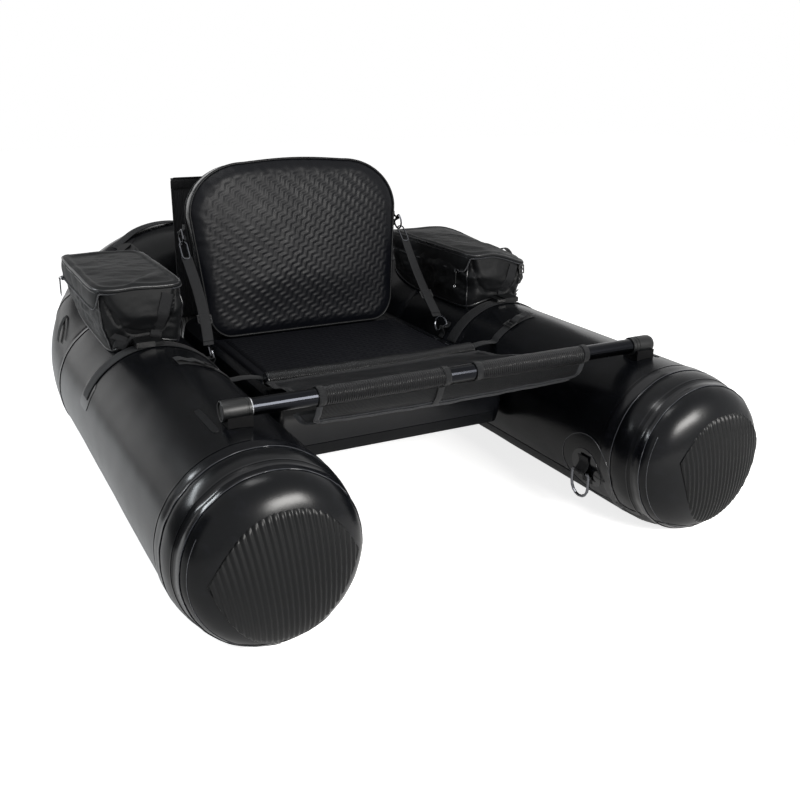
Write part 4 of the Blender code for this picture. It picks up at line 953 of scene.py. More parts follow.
# %% [markdown]
# ## Backrest
#
# The backrest is an inflated cushion that folds forward on its lower edge. Its front is the
# embossed face with a smooth border, wider at the top. A piping cord runs round the front edge,
# and the side band is plain cloth. The whole cushion leans back by seven degrees, so it is built
# in its own flat coordinates and tilted at the end by one matrix.

# %% Backrest
LEAN = math.radians(7)
REST_HALF, REST_HIGH = corners("backrest_cushion")[1].x, 0.410
SHOULDER_X, SHOULDER_Z, CROWN, FOOT = 0.142, 0.116, 0.007, 0.060
REST_PLACE = Matrix.Translation((0, PAD_HIGH.y + 0.0092, PAD_HIGH.z - 0.006)) @ Matrix.Rotation(-LEAN, 4, "X")
REST_MIDDLE = (0.0, 0.200)
FACE_COLUMNS, FACE_ROWS = 720, 90


def rest_outline(count):
    """The front outline in x and z: broad round shoulders, a slightly arched top, small round feet."""
    top = REST_HIGH - CROWN
    shoulder, foot = ([(REST_HALF - wide * (1 - math.cos(t)), base + high * math.sin(t))
                       for t in (math.pi / 2 * step / steps for step in range(steps + 1))]
                      for wide, high, base, steps in ((SHOULDER_X, SHOULDER_Z, top - SHOULDER_Z, 24),
                                                      (FOOT, -FOOT, FOOT, 12)))
    arch = [((share * 2 - 1) * (REST_HALF - SHOULDER_X), top + CROWN * math.sin(math.pi * share))
            for share in (step / 24 for step in range(1, 24))]
    mirrored = [[(-x, z) for x, z in part] for part in (shoulder, foot)]
    points = mirrored[0] + arch + shoulder[::-1] + foot + mirrored[1][::-1]
    points = [(x * (1 - 0.036 - 0.085 * smooth_step(0.26, 0.02, z)), z) for x, z in points]
    points.append(points[0])
    lengths = running_length(points)
    out = []
    for want in (lengths[-1] * k / count for k in range(count)):
        i = int(np.searchsorted(lengths, want, side="right")) - 1
        share = (want - lengths[i]) / max(lengths[i + 1] - lengths[i], 1e-9)
        out.append(tuple(a + (b - a) * share for a, b in zip(points[i], points[i + 1])))
    return out


def rest_local(x, y, z):
    return REST_PLACE @ Vector((x, y, z))


def towards_middle(x, z, share):
    """A point of the outline, drawn towards the cushion's middle."""
    return tuple(middle + (value - middle) * share for value, middle in zip((x, z), REST_MIDDLE))


REST_RING = rest_outline(240)


def make_rest_shell():
    """The band and the back, as copies of the outline scaled towards the middle."""
    levels = [(0.006, 0.0105), (0.0, 0.0165), (-0.0012, 0.026), (-0.0012, 0.046), (0.003, 0.058),
              (0.012, 0.0655), (0.030, 0.0700), (0.075, 0.0735), (0.130, 0.0750), (0.190, 0.0755)]
    points = []
    for inset, y in levels:
        for x, z in REST_RING:
            share = max(1 - inset / math.dist((x, z), REST_MIDDLE), 0.02)
            wobble = 0.0010 * share ** 3 * ruffle((x * share, y * 2, z * share), 45, 5)
            px, pz = towards_middle(x, z, share)
            points.append(rest_local(px, y - 0.0045 + wobble, pz))
    faces = grid_faces(len(levels), len(REST_RING), True)
    faces.append(tuple(range(len(points) - len(REST_RING), len(points))))
    return make_piece("backrest_shell", points, faces, PVC_TAPE, "backrest", None, 45)


def make_rest_face():
    """The front: rings near the border, each closer to the middle, with the zigzag as relief."""
    points, uvs = [], []
    ring = rest_outline(FACE_COLUMNS)
    for share in (1 - (row / (FACE_ROWS - 1)) * 0.995 for row in range(FACE_ROWS)):
        for x, z in ring:
            px, pz = towards_middle(x, z, share)
            from_edge = math.hypot(x - px, z - pz)
            swell = math.sin(min(from_edge / 0.030, 1) * math.pi / 2) ** 0.8
            dome = 1 - share ** 2.5
            y = 0.0085 - (0.0100 * swell + 0.0120 * dome) * (1 - 0.32 * smooth_step(0.14, 0.03, pz))
            top = smooth_step(0.06, 0.34, pz - 0.25 * px)
            border = 0.010 + 0.018 * top
            inside = smooth_step(border - 0.003, border + 0.010, from_edge)
            y -= inside * 0.0011 * zigzag(px, pz) - 0.0009 * ruffle((px, 0, pz), 90, 2)
            y -= 0.0011 * (1 - inside) * top * ruffle((px, 0, pz), 16, 4)
            points.append(rest_local(px, y, pz))
            uvs.append((px, pz))
    faces = grid_faces(FACE_ROWS, FACE_COLUMNS, True)
    faces.append(tuple(range(len(points) - FACE_COLUMNS, len(points))))
    return make_piece("backrest_face", points, [face[::-1] for face in faces], EMBOSSED, "backrest",
                      uvs, 60)


shell, face = make_rest_shell(), make_rest_face()
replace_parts(shell, "backrest_cushion")
for name, share, y, radius in (("front", 1.002, 0.0072, 0.0030), ("rear", 0.992, 0.0585, 0.0026)):
    rim = [rest_local(x * share, y, REST_MIDDLE[1] + (z - REST_MIDDLE[1]) * share) for x, z in REST_RING]
    cord(f"backrest_{name}_piping", rim, radius, WELTING, "backrest", closed=True)
print("backrest face points:", len(face.data.vertices))


# %% [markdown]
# ## Hardware that keeps its CAD shape
#
# Rings, hooks, buckles and the bar are machined or bent from hard stock. Their CAD shapes are
# already right, so they only need their real finishes. The shape stays as it is, and only the
# material in its slot changes.

# %% Finishes for the CAD hardware
refinished = {"crossbar_tube": ANODISED}
for finish, parts in ((BLACK_NICKEL, ("front_ring", "anchor_ring", "backrest_ring", "snap_hook", "zip_slider")),
                      (SADDLE_RUBBER, ("bar_saddle",)),
                      (ACETAL, ("buckle_socket", "buckle_plug", "valve_body", "valve_cap"))):
    refinished.update({f"{word}_{part}": finish for word, _ in SIDES for part in parts})
for node, finish in refinished.items():
    materials = bpy.data.objects[node].data.materials
    materials.clear()
    materials.append(finish)
print("refinished hardware:", len(refinished))


# %% [markdown]
# ## Bar caps
#
# The left end carries a ribbed rubber cap with a dished end. The right one is domed behind three
# collar rings. Both are turned profiles, so one tool makes them from a list of radii and heights.

# %% Bar caps
BAR_LOW, BAR_HIGH = corners("crossbar_tube")
BAR_Y, BAR_Z, BAR_R = (BAR_LOW.y + BAR_HIGH.y) / 2, (BAR_LOW.z + BAR_HIGH.z) / 2, (BAR_HIGH.z - BAR_LOW.z) / 2
CAP_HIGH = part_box("right_bar_cap")[1][0]


def bar_place(side, reach):
    """A frame on the bar's axis at a distance from the middle, its Z pointing outwards."""
    return frame_on(ACROSS * side, UP, (side * reach, BAR_Y, BAR_Z))


LEFT_CAP = [(0.0149, -0.049), (0.0164, -0.049), (0.0170, -0.0484), (0.0170, -0.0445), (0.0163, -0.0440),
            (0.0163, -0.0425), (0.0176, -0.0418), (0.0179, -0.0405), (0.0179, -0.0030), (0.0176, -0.0008),
            (0.0166, 0.0), (0.0150, -0.0006), (0.0142, -0.0030), (0.0060, -0.0034), (0.0, -0.0034)]
RIGHT_CAP = [(0.0149, -0.054), (0.0170, -0.054), (0.0176, -0.0532), (0.0176, -0.0490), (0.0168, -0.0480),
             (0.0168, -0.0465), (0.0177, -0.0458), (0.0177, -0.0418), (0.0169, -0.0408), (0.0169, -0.0394),
             (0.0179, -0.0386), (0.0179, -0.0120), (0.0172, -0.0060), (0.0152, -0.0022), (0.0110, -0.0005),
             (0.0050, 0.0), (0.0, 0.0)]
COLLAR = [(0.0150, -0.0020), (0.0162, -0.0018), (0.0165, -0.0009), (0.0162, 0.0), (0.0150, 0.0002)]
for (word, side), profile in zip(SIDES, (LEFT_CAP, RIGHT_CAP)):
    cap = turned(word + "_bar_end_cap", profile, bar_place(side, CAP_HIGH), CAP_RUBBER, "hull")
    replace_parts(cap, word + "_bar_cap")
turned("left_bar_collar", COLLAR, bar_place(-1, CAP_HIGH - 0.0495), BRIGHT_RING, "hull")
print("bar caps reach", round(CAP_HIGH, 4))


# %% [markdown]
# ## Sleeves of mesh vinyl
#
# The apron's front edge is sewn into two sleeves that slide over the bar and leave a bare window
# in the middle. Mesh vinyl has fine ribs that shine. The sleeve is a touch loose, so it wrinkles
# where it is bound at its ends, and it drops into the apron behind.

# %% Sleeves round the bar
SLEEVE_OUT, SLEEVE_IN = -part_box("left_apron_sleeve")[0][0], -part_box("left_apron_sleeve")[1][0]
BOUND_END = [(-0.0062, 0.0006), (-0.0060, 0.0026), (-0.0030, 0.0030), (0.0, 0.0028), (0.0030, 0.0030),
             (0.0060, 0.0026), (0.0062, 0.0006)]


def make_sleeve(word, side):
    length = SLEEVE_OUT - SLEEVE_IN

    def place(u, v):
        x, angle, ends = side * (SLEEVE_IN + v * length), 2 * math.pi * u, min(v, 1 - v) * length
        wrinkle = ruffle((x, math.cos(angle) * 0.03, math.sin(angle) * 0.03), 26, 4)
        loose = 0.0012 * min(ends / 0.02, 1) * (0.5 + 0.5 * wrinkle)
        sag = 0.0010 * max(-math.cos(angle), 0) * min(ends / 0.04, 1)
        radius = BAR_R + 0.0011 + loose + sag
        return Vector((x, BAR_Y + radius * math.sin(angle), BAR_Z + radius * math.cos(angle)))

    sleeve = surface(word + "_mesh_sleeve", 150, 40, place, MESH_ROUND, "hull",
                     (0.105, length), closed=True)
    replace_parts(sleeve, word + "_apron_sleeve")
    for end, reach in (("outer", SLEEVE_OUT - 0.007), ("inner", SLEEVE_IN + 0.006)):
        turned(f"{word}_sleeve_binding_{end}", [(BAR_R + rise, offset) for offset, rise in BOUND_END],
               bar_place(side, reach), BINDING, "hull")


for word, side in SIDES:
    make_sleeve(word, side)
print("sleeves run from", round(SLEEVE_IN, 3), "to", round(SLEEVE_OUT, 3), "m from the middle")


# %% [markdown]
# ## Stripping apron
#
# The apron is one length of slick cloth from the bar back to a padded roll across the lap. It
# sags a little in the middle and pulls into light folds towards its corners, where straps hold
# it. Its edges are bound with tape.

# %% Apron panel
APRON_FRONT, APRON_REAR = BAR_Y + 0.0183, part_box("apron_panel")[1][1]
ROLL_LOW, ROLL_HIGH = corners("apron_rear_roll")
ROLL_Y, ROLL_Z = (ROLL_LOW.y + ROLL_HIGH.y) / 2, (ROLL_LOW.z + ROLL_HIGH.z) / 2
ROLL_R, ROLL_HALF, APRON_HALF = (ROLL_HIGH.z - ROLL_LOW.z) / 2, ROLL_HIGH.x, SLEEVE_OUT


def apron_point(u, v, lift=0.0):
    """u from -1 to 1 across, v from 0 at the bar to 1 at the roll."""
    x = u * (APRON_HALF + (ROLL_HALF - APRON_HALF) * v)
    y = APRON_FRONT + (APRON_REAR - APRON_FRONT) * v
    z = BAR_Z + (ROLL_Z - BAR_Z) * v - 0.014 * math.sin(math.pi * v) * (1 - 0.35 * u * u)
    fade = math.sin(math.pi * min(max(v, 0), 1)) ** 0.6
    for corner in (-1, 1):
        pull = math.exp(-((u - corner) / 0.35) ** 2)
        z += 0.0030 * pull * fade * math.sin((v * 2.2 + (u - corner) * corner * 2.6) * math.pi * 2)
    z += fade * (0.0035 * ruffle((x, y * 0.6, 0), 110, 8) + 0.0012 * ruffle((x, y, 0), 38, 9))
    return Vector((x, y, z + lift))


def bind(name, path, axis, width, thickness, finish=BINDING):
    """A tape of binding or webbing that is sewn along a path."""
    return strap(name, path, axis, width, thickness, finish, "hull")


panel = surface("apron_cloth", 90, 130, lambda u, v: apron_point(u * 2 - 1, v), APRON_CLOTH, "hull",
                (0.55, 0.32))
give_thickness(panel, 0.0008)
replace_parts(panel, "apron_panel")
for word, side in SIDES:
    bind("apron_edge_binding_" + word, [apron_point(side * 0.985, t, 0.0004) for t in shares(60)], ACROSS,
         0.014, 0.0014)
bind("apron_rear_binding", [apron_point(t * 2 - 1, 0.972, 0.0006) for t in shares(60)], AFT, 0.016, 0.0012)
print("apron points:", len(panel.data.vertices))


# %% [markdown]
# ## Lap roll
#
# The roll is a tube of mesh vinyl round soft foam. It dents where it is handled and creases near the straps, and its
# ribs run round it.

# %% Lap roll
def roll_point(u, v, grow=0.0):
    """u turns round the roll and v runs from its left end to its right."""
    x, angle = (v * 2 - 1) * ROLL_HALF, 2 * math.pi * u
    close = min(min(v, 1 - v) * 2 * ROLL_HALF / 0.010, 1)
    radius = ROLL_R * (1 - (1 - close) ** 2.5) ** 0.5 * 0.94
    dent = 0.10 * ruffle((x, 0, 0), 85, 1)
    dent += 0.05 * ruffle((x, math.sin(angle) * 0.02, math.cos(angle) * 0.02), 30, 2)
    radius *= 1 - 0.12 * math.cos(angle) ** 2 + dent
    return Vector((x, ROLL_Y + 0.0025 * ruffle((x, 0, 0), 140, 6) + (radius + grow) * math.sin(angle) * 1.02,
                   ROLL_Z - 0.004 * math.sin(math.pi * v) + 0.001 + (radius + grow) * math.cos(angle)))


roll = surface("lap_roll", 240, 36, roll_point, MESH_ROUND, "hull", (0.11, 2 * ROLL_HALF),
               closed=True)
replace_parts(roll, "apron_rear_roll")
bind("lap_roll_seam", [roll_point(0.32, t * 0.96 + 0.02, 0.001) for t in shares(60)], Vector((0, 0.35, 1)),
     0.010, 0.0012)
print("lap roll points:", len(roll.data.vertices))


# %% [markdown]
# ## Front lip
#
# In front of the bar hangs a lip of mesh vinyl with a stiffened, stitched hem. It goes down from
# the bar, then turns up again behind to meet the apron, like a shallow trough. Its ends fold into
# triangles.

# %% Front lip
LIP_TOP = Vector((0, BAR_Y - 0.002, BAR_Z - 0.0185))
LIP_HEM, LIP_BACK = Vector((0, -0.5190, 0.2800)), Vector((0, -0.4480, 0.2760))


def lip_point(u, v):
    """u from -1 to 1 across, v from 0 at the bar over the hem at 0.5 to 1 behind."""
    if v < 0.5:
        t = v * 2
        spot = LIP_TOP.lerp(LIP_HEM, t) + Vector((0, -0.003, -0.002)) * math.sin(math.pi * t)
    else:
        t = v * 2 - 1
        spot = LIP_HEM.lerp(LIP_BACK, t) + Vector((0, 0.002, -0.006)) * math.sin(math.pi * t)
    x = u * (APRON_HALF - 0.004 + 0.004 * v - 0.014 * math.exp(-((v - 0.5) / 0.10) ** 2))
    fall = math.sin(math.pi * min(v, 1.0))
    spot += Vector((0, -0.0026, 0.0014)) * fall * ruffle((x, v * 0.1, 0), 70, 12)
    spot.z -= 0.004 * fall * (1 - u * u) - 0.0015 * fall * ruffle((x, 0, v * 0.1), 30, 13)
    return Vector((x, spot.y, spot.z))


lip = surface("front_lip", 70, 130, lambda u, v: lip_point(u * 2 - 1, v), MESH_VINYL, "hull",
              (0.57, 0.16))
give_thickness(lip, 0.0011)
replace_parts(lip, "apron_front_lip")
for name, v, width, finish in (("lower", 0.47, 0.012, HEM_TAPE), ("upper", 0.36, 0.004, HEM_TAPE),
                               ("rear", 0.97, 0.014, BINDING)):
    band = [lip_point(t * 1.98 - 0.99, v) + Vector((0, -0.0012, -0.0004)) for t in shares(70)]
    axis = (lip_point(0, v + 0.02) - lip_point(0, v - 0.02)).normalized()
    bind("front_lip_hem_" + name, band, axis, width, 0.0014, finish)
for word, side in SIDES:
    bind("front_lip_end_" + word, [lip_point(side * 0.99, t) for t in shares(40)], ACROSS, 0.012, 0.0018, HEM_TAPE)
loop = [lip_point(-(SLEEVE_IN + 0.014) / APRON_HALF, 0.42 * t) + Vector((0, -0.0022, -0.0004)) for t in shares(14)]
bind("front_lip_loop", loop, ACROSS, 0.014, 0.0016, WEBBING)
print("apron pieces made")


# %% [markdown]
# ## Webbing tabs
#
# Every ring hangs in a short tab of webbing that is folded over its bar and sewn down. One
# smooth path does it all: flat on its base, up, round the bar, down and flat again.

# %% Ring tabs
def tab(name, base, bar, normal, side_axis, width, reach, radius, body="hull"):
    """A folded loop of webbing: up from the base, round the ring's bar and back down."""
    normal, side_axis = normal.normalized(), side_axis.normalized()
    along, rise = normal.cross(side_axis).normalized(), (bar - base).dot(normal)
    foot = [base + along * reach * share + normal * lift
            for share, lift in ((-1, 0.0006), (-0.45, 0.0010), (0.45, 0.0010), (1, 0.0006))]
    over = [base + normal * (rise + radius * math.sin(math.pi * t)) - along * radius * math.cos(math.pi * t)
            for t in shares(8)]
    return strap(name, smooth_path(foot[:2] + over + foot[2:], 3), side_axis, width, 0.0016, WEBBING, body)


for word, side in SIDES:
    base, normal = skin_frame(side, *RING_SPOT)
    loop = tab(word + "_front_ring_tab", base + normal * 0.003, base + normal * 0.015, normal, AFT, 0.030, 0.032,
               0.0042)
    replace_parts(loop, word + "_front_loop")
    base, normal = skin_frame(side, RING_A + 0.665, math.radians(55))
    loop = tab(word + "_anchor_ring_tab", base + normal * 0.001, base + normal * 0.011, normal, AFT, 0.0186, 0.022,
               0.0034)
    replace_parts(loop, word + "_anchor_loop")
    base = rest_local(side * (REST_HALF + 0.001), 0.033, 0.252)
    loop = tab(word + "_backrest_ring_tab", base, base + ACROSS * side * 0.010, ACROSS * side,
               REST_PLACE.to_3x3() @ AFT, 0.019, 0.018, 0.0034, "backrest")
    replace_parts(loop, word + "_backrest_loop")


# %% [markdown]
# ## Straps of the backrest
# A strap with a slider holds up each side of the backrest, from the anchor ring on the hull to the snap hook at the
# backrest. It is built with no body, and its modifiers and place are baked into its mesh. Riding on one body
# alone, it would tear away from the other.

# %% Backrest straps
def make_ladder(name, centre, along, normal, width, body="hull"):
    """A three-bar slider for webbing: two long sides and three cross bars."""
    place = frame_on(normal, along, centre)
    steps = (-1, -0.5, 0, 0.5, 1)
    bars = [([(x, s * width / 2) for s in steps], 0.0019, ACROSS) for x in (-0.0095, 0.0, 0.0095)]
    bars += [([(t * 0.0105, s * (width / 2 + 0.001)) for t in steps], 0.0021, AFT) for s in (-1, 1)]
    points, faces = [], []
    for path, radius, axis in bars:
        first = len(points)
        points += [place @ (Vector((x, y, 0.0010)) + (axis * math.cos(a) + UP * math.sin(a) * 0.8) * radius)
                   for x, y in path for a in angles(8)]
        faces += [tuple(first + i for i in face) for face in grid_faces(len(path), 8, True)]
        faces += [tuple(range(first, first + 8))[::-1], tuple(range(len(points) - 8, len(points)))]
    return make_piece(name, points, faces, ACETAL, body, None, 50)


def make_backrest_strap(word, side):
    low_box, high_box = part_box(word + "_anchor_ring"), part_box(word + "_snap_hook")
    low = Vector(((low_box[0][0] + low_box[1][0]) / 2, low_box[1][1] - 0.002, low_box[1][2] - 0.004))
    high = Vector(((high_box[0][0] + high_box[1][0]) / 2, high_box[0][1] + 0.006, high_box[0][2] + 0.006))
    bow = Vector((side * -0.0060, -0.004, -0.002))
    points = [low.lerp(high, t) + bow * math.sin(math.pi * t) for t in shares(40)]
    axes = [ACROSS + AFT * side * 0.30 * (t - 0.2) for t in shares(40)]
    main = strap(word + "_backrest_webbing", points, axes, 0.024, 0.0015, WEBBING, None)
    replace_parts(main, word + "_backrest_strap")
    fold = [point - AFT * 0.0022 for point in points[2:15]]
    under = strap(word + "_backrest_webbing_fold", fold, axes[2:15], 0.024, 0.0015, WEBBING, None)
    along = (points[13] - points[11]).normalized()
    keeper = make_ladder(word + "_strap_slider", points[12] - AFT * 0.002, along, along.cross(ACROSS), 0.028, None)
    apply_modifiers(main)
    apply_modifiers(under)
    for piece in (main, under, keeper):
        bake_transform(piece)


for word, side in SIDES:
    make_backrest_strap(word, side)
print("backrest straps made")


# %% [markdown]
# ## Straps over the pontoons
#
# Two kinds of strap cross each pontoon. A short one holds the apron's corner down and ends in a
# ladder slider with a loose tail. A wide one holds the side bag and closes with a side-release
# buckle. Both follow the hull's skin by the ring table.

# %% Straps that hug the hull
TIE_ALONG, HOLD_ALONG = RING_A + 0.470, RING_A + 0.617


def over_hull(side, along, first_deg, last_deg, lift, steps):
    """A path on the skin between two angles, with its ends sewn down."""
    return [skin_point(side, along, math.radians(first_deg + (last_deg - first_deg) * t),
                       0.0008 if t in (0, 1) else lift) for t in shares(steps)]


for word, side in SIDES:
    hug = over_hull(side, TIE_ALONG, 4, 47, 0.0016, 30)
    corner = Vector((side * (ROLL_HALF - 0.012), ROLL_Y + 0.012, ROLL_Z + 0.002))
    gap = [hug[-1].lerp(corner, t) + UP * (0.004 * math.sin(math.pi * t) - 0.003 * t) for t in (0.33, 0.66, 1.0)]
    main = strap(word + "_apron_tie", smooth_path(hug[::3] + gap, 5), AFT, 0.025, 0.0015, WEBBING)
    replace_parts(main, word + "_apron_strap")
    spot, normal = skin_frame(side, TIE_ALONG, math.radians(26))
    flow = skin_point(side, TIE_ALONG, math.radians(30)) - skin_point(side, TIE_ALONG, math.radians(24))
    make_ladder(word + "_apron_tie_slider", spot + normal * 0.0034, flow, normal, 0.027)
    tail = [skin_point(side, TIE_ALONG + 0.002 * k, math.radians(22 - k * 3.2), 0.0050 + 0.0012 * (k % 3))
            for k in range(7)]
    strap(word + "_apron_tie_tail", smooth_path(tail, 4), AFT, 0.024, 0.0014, WEBBING)
    main = strap(word + "_bag_hold_down", over_hull(side, HOLD_ALONG, 62, -66, 0.0018, 60), AFT, 0.038, 0.0017,
                 WEBBING)
    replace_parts(main, word + "_hold_strap")
    for end, angle in (("inner", 60), ("outer", -63)):
        skin_patch(f"{word}_hold_patch_{end}", side, HOLD_ALONG, math.radians(angle), lozenge(0.034, 0.030, 5),
                   lift=0.0009)
print("straps made")


# %% [markdown]
# ## Carry handles
#
# A carry handle is webbing folded into a tube at the grip and sewn flat to a patch at each end.
# It arches off the stern and rides on the hull.

# %% Carry handles and valve patches
HANDLE_AT, HANDLE_LONG, HANDLE_SEWN, VALVE_AT = 0.885, 0.095, 0.030, 0.68


def make_carry_handle(word, side):
    span = HANDLE_LONG / (bend_point(side, 1) - bend_point(side, 0)).length / 2
    start, end = (min(BEND_A + (BEND_B - BEND_A) * share, HULL_END)
                  for share in (HANDLE_AT - span, HANDLE_AT + span))
    points = []
    for t in shares(30):
        along = start - HANDLE_SEWN + (end - start + 2 * HANDLE_SEWN) * t
        arch = max(math.sin(math.pi * min(max((along - start) / (end - start), 0), 1)), 0)
        points.append(skin_point(side, along, 0.0, 0.0022 + 0.005 * arch ** 0.8))
    axis = skin_frame(side, start, 0)[1].cross(points[-1] - points[0]).normalized()
    handle = strap(word + "_handle_webbing", points, axis, 0.032, 0.0022, WEBBING)
    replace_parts(handle, word + "_carry_handle")
    for end_word, along in (("front", start - 0.012), ("rear", end + 0.012)):
        skin_patch(f"{word}_handle_patch_{end_word}", side, along, 0.0, lozenge(0.036, 0.036))


for word, side in SIDES:
    make_carry_handle(word, side)
for word, side in SIDES:
    skin_patch(word + "_valve_patch", side, BEND_A + (BEND_B - BEND_A) * VALVE_AT, math.radians(16),
               lozenge(0.052, 0.052), lift=0.0010)
print("handles and valve patches made")


# %% [markdown]
# ## Storage panel
#
# Behind the backrest stands a panel of open mesh cloth with bound edges, laced to the stern.
# It bows backwards a little and its mesh is coarse enough to read as a grid.

# %% Storage panel
PANEL_LOW, PANEL_HIGH = corners("rear_storage_panel")


def panel_point(u, v):
    x = PANEL_LOW.x + (PANEL_HIGH.x - PANEL_LOW.x) * u
    z = PANEL_LOW.z + 0.001 + (PANEL_HIGH.z - PANEL_LOW.z - 0.001) * v
    y = (PANEL_LOW.y + PANEL_HIGH.y) / 2 + 0.006 * math.sin(math.pi * u) * math.sin(math.pi * v)
    return Vector((x, y + 0.002 * ruffle((x, 0, z), 120, 15) * math.sin(math.pi * v), z))


rear = surface("storage_mesh", 60, 80, panel_point, PANEL_MESH, "hull", (0.5, 0.36))
give_thickness(rear, 0.0014)
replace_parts(rear, "rear_storage_panel")
border = [panel_point(0.004, t) for t in shares(40)[:-1]] + [panel_point(t, 0.996) for t in shares(60)[1:-1]]
border += [panel_point(0.996, 1 - t) for t in shares(40)]
cord("storage_panel_binding", border, 0.0042, BINDING, "hull", flat=0.6)
hem = [panel_point(t, 0.955) + Vector((0, -0.0016, 0)) for t in shares(60)]
bind("storage_panel_hem", hem, panel_point(0.5, 0.99) - panel_point(0.5, 0.93), 0.024, 0.0012)
print("storage panel made")


# %% [markdown]
# ## Side bags
#
# The bags are sewn from coated polyester with a zipped lid. An empty bag never keeps its pattern:
# the front panel bellies out and drops in one big crescent fold, the sides buckle, and the lid
# sags between its piped edges. Each bag is a stack of rings, from its seat on the hull up to the
# rim. A rule moves every point in or out for the belly, the fold and the small creases.

# %% Bag measures
BAG_BOX = {word: corners(word + "_bag_body") for word, _ in SIDES}
LID_BOX = {word: corners(word + "_bag_lid") for word, _ in SIDES}
LID_TOP = LID_BOX["left"][1].z
RIM_GAP, SKIRT, TURNS, SQUARENESS = 0.0048, 0.0375, 256, 9
BAG_SHAPES = {
    "left": {"front_in": 0.006, "inner_in": 0.018, "outer_in": -0.002, "foot_in": 0.022, "slump": 0.0,
             "belly": 0.017, "seed": 3.0, "crumple": 1.9, "dome": 0.003, "fold": 0.0050},
    "right": {"front_in": 0.004, "inner_in": 0.016, "outer_in": 0.014, "foot_in": 0.014, "slump": 0.027,
              "belly": 0.010, "seed": 8.0, "crumple": 2.2, "dome": 0.016, "fold": 0.0022},
}


def squarish(turn):
    """A point of a rounded square from -1 to 1, for an angle."""
    c, s = math.cos(turn), math.sin(turn)
    scale = (abs(c) ** SQUARENESS + abs(s) ** SQUARENESS) ** (-1 / SQUARENESS)
    return c * scale, s * scale


def hull_top(side, x, y):
    """The height of the skin under a spot near the pontoon's crest."""
    centre, along = Vector((side * SPACING, y, TUBE_R)), RING_A + (y - RING_A_Y)
    if along > BEND_A:
        centre = bend_point(side, min((along - BEND_A) / (BEND_B - BEND_A), 1))
    return centre.z + math.sqrt(max(TUBE_R ** 2 - (x - centre.x) ** 2, 0))


print("left bag in metres:", [round(edge, 3) for edge in BAG_BOX["left"][1] - BAG_BOX["left"][0]])


# %% [markdown]
# ## Walls and edges of the bags
#
# A cloth simulation would drape the bags, but a rule is easier to steer towards a photograph.
# The wall starts as a rounded square and takes the belly, the fold and the creases in turn. The
# edge of the lid has its own rule, which the wall, the zip and the piping all follow.

# %% Walls and edges of the bags
def lid_edge(word, side, turn):
    """A point of the lid's upper edge, the way out from it, and how deep the lid's gusset hangs there.

    The gusset is deep on the zip's side, which is -X on both bags, and fades on the ends.
    """
    (low, high), shape = LID_BOX[word], BAG_SHAPES[word]
    px, py = squarish(turn)
    inner, outer = smooth_step(-0.2, 0.9, -px * side), smooth_step(-0.2, 0.9, px * side)
    x = (low.x + high.x) / 2 + px * ((high.x - low.x) / 2 - 0.001 - inner * shape["inner_in"]
                                     - outer * shape["outer_in"] * 0.8)
    y = (low.y + high.y) / 2 + py * ((high.y - low.y) / 2 - 0.001)
    z = LID_TOP - 0.007 - shape["slump"] * smooth_step(-0.3, 1.0, px * side) * smooth_step(-1.0, 0.6, -py)
    z -= 0.0022 * (1 + ruffle((x, y, 0), 60, shape["seed"])) * (1 - abs(px) ** 12 * 0.4)
    way = Vector((math.copysign(abs(px) ** 5, px), math.copysign(abs(py) ** 5, py), 0)).normalized()
    return Vector((x, y, z)), way, RIM_GAP + SKIRT * smooth_step(0.88, 0.975, -px)


def bag_point(word, side, turn, h, out=0.0):
    """A point of the bag's wall: turn goes round it, h runs from its seat at 0 to the rim at 1."""
    (low, high), shape = BAG_BOX[word], BAG_SHAPES[word]
    px, py = squarish(turn)
    edge, way, _ = lid_edge(word, side, turn)
    inner, outer = smooth_step(-0.2, 0.9, -px * side), smooth_step(-0.2, 0.9, px * side)
    front = smooth_step(0.5, 0.98, -py)
    x = (low.x + high.x) / 2 + px * ((high.x - low.x) / 2 - 0.002 - inner * shape["inner_in"] * (0.25 + 0.75 * h)
                                     - outer * shape["outer_in"] - shape["foot_in"] * (1 - h) ** 1.3)
    y = (low.y + high.y) / 2 + py * ((high.y - low.y) / 2 - 0.003) + front * shape["front_in"] * (1 - h)
    floor = hull_top(side, min(max(x, low.x + 0.004), high.x - 0.004), y) + 0.001
    z = floor + (edge.z - RIM_GAP - floor) * h
    arch = math.sin(math.pi * min(max(h, 0), 1))
    wall = 0.005 * arch * (1 - (px if abs(py) > abs(px) else py) ** 4)
    seed, rough = shape["seed"], shape["crumple"]
    if front > 0.4:
        depth = h - 0.20 - 0.75 * abs((px + 0.05) / 0.82) ** 3.2
        below = smooth_step(0.0, 0.2, depth)
        wall += shape["belly"] * smooth_step(0.0, 0.34, depth) * (1 - 0.45 * h) * (1 - px ** 6)
        wall -= 0.0060 * math.exp(-((depth + 0.01) / 0.055) ** 2) * (1 - px ** 6)
        wall += 0.003 * math.sin(h * 9 + px * 2.5) * (1 - px ** 4) * (1 - below) * arch
        rough *= 1 - 0.65 * front * below
    spot = Vector((x, y, z * 1.6))
    crease = 1 - abs(ruffle(spot, 75, seed)) * 2
    wall += rough * arch * (0.0028 * crease + 0.0024 * ruffle(spot, 42, seed + 1)
                            + 0.0011 * ruffle(spot, 17, seed + 2))
    return Vector((x, y, z)) + way * (wall + out)


print("zip edge of the left lid at", round(lid_edge("left", -1, math.pi)[0].z, 3), "m")


# %% [markdown]
# ## Shells, lids and hinges of the bags
#
# A shell is rings of the wall, with a few more inside for the lining. A lid is a gusset with a sagging top. On the
# side away from the zip a tape of cloth is the hinge.

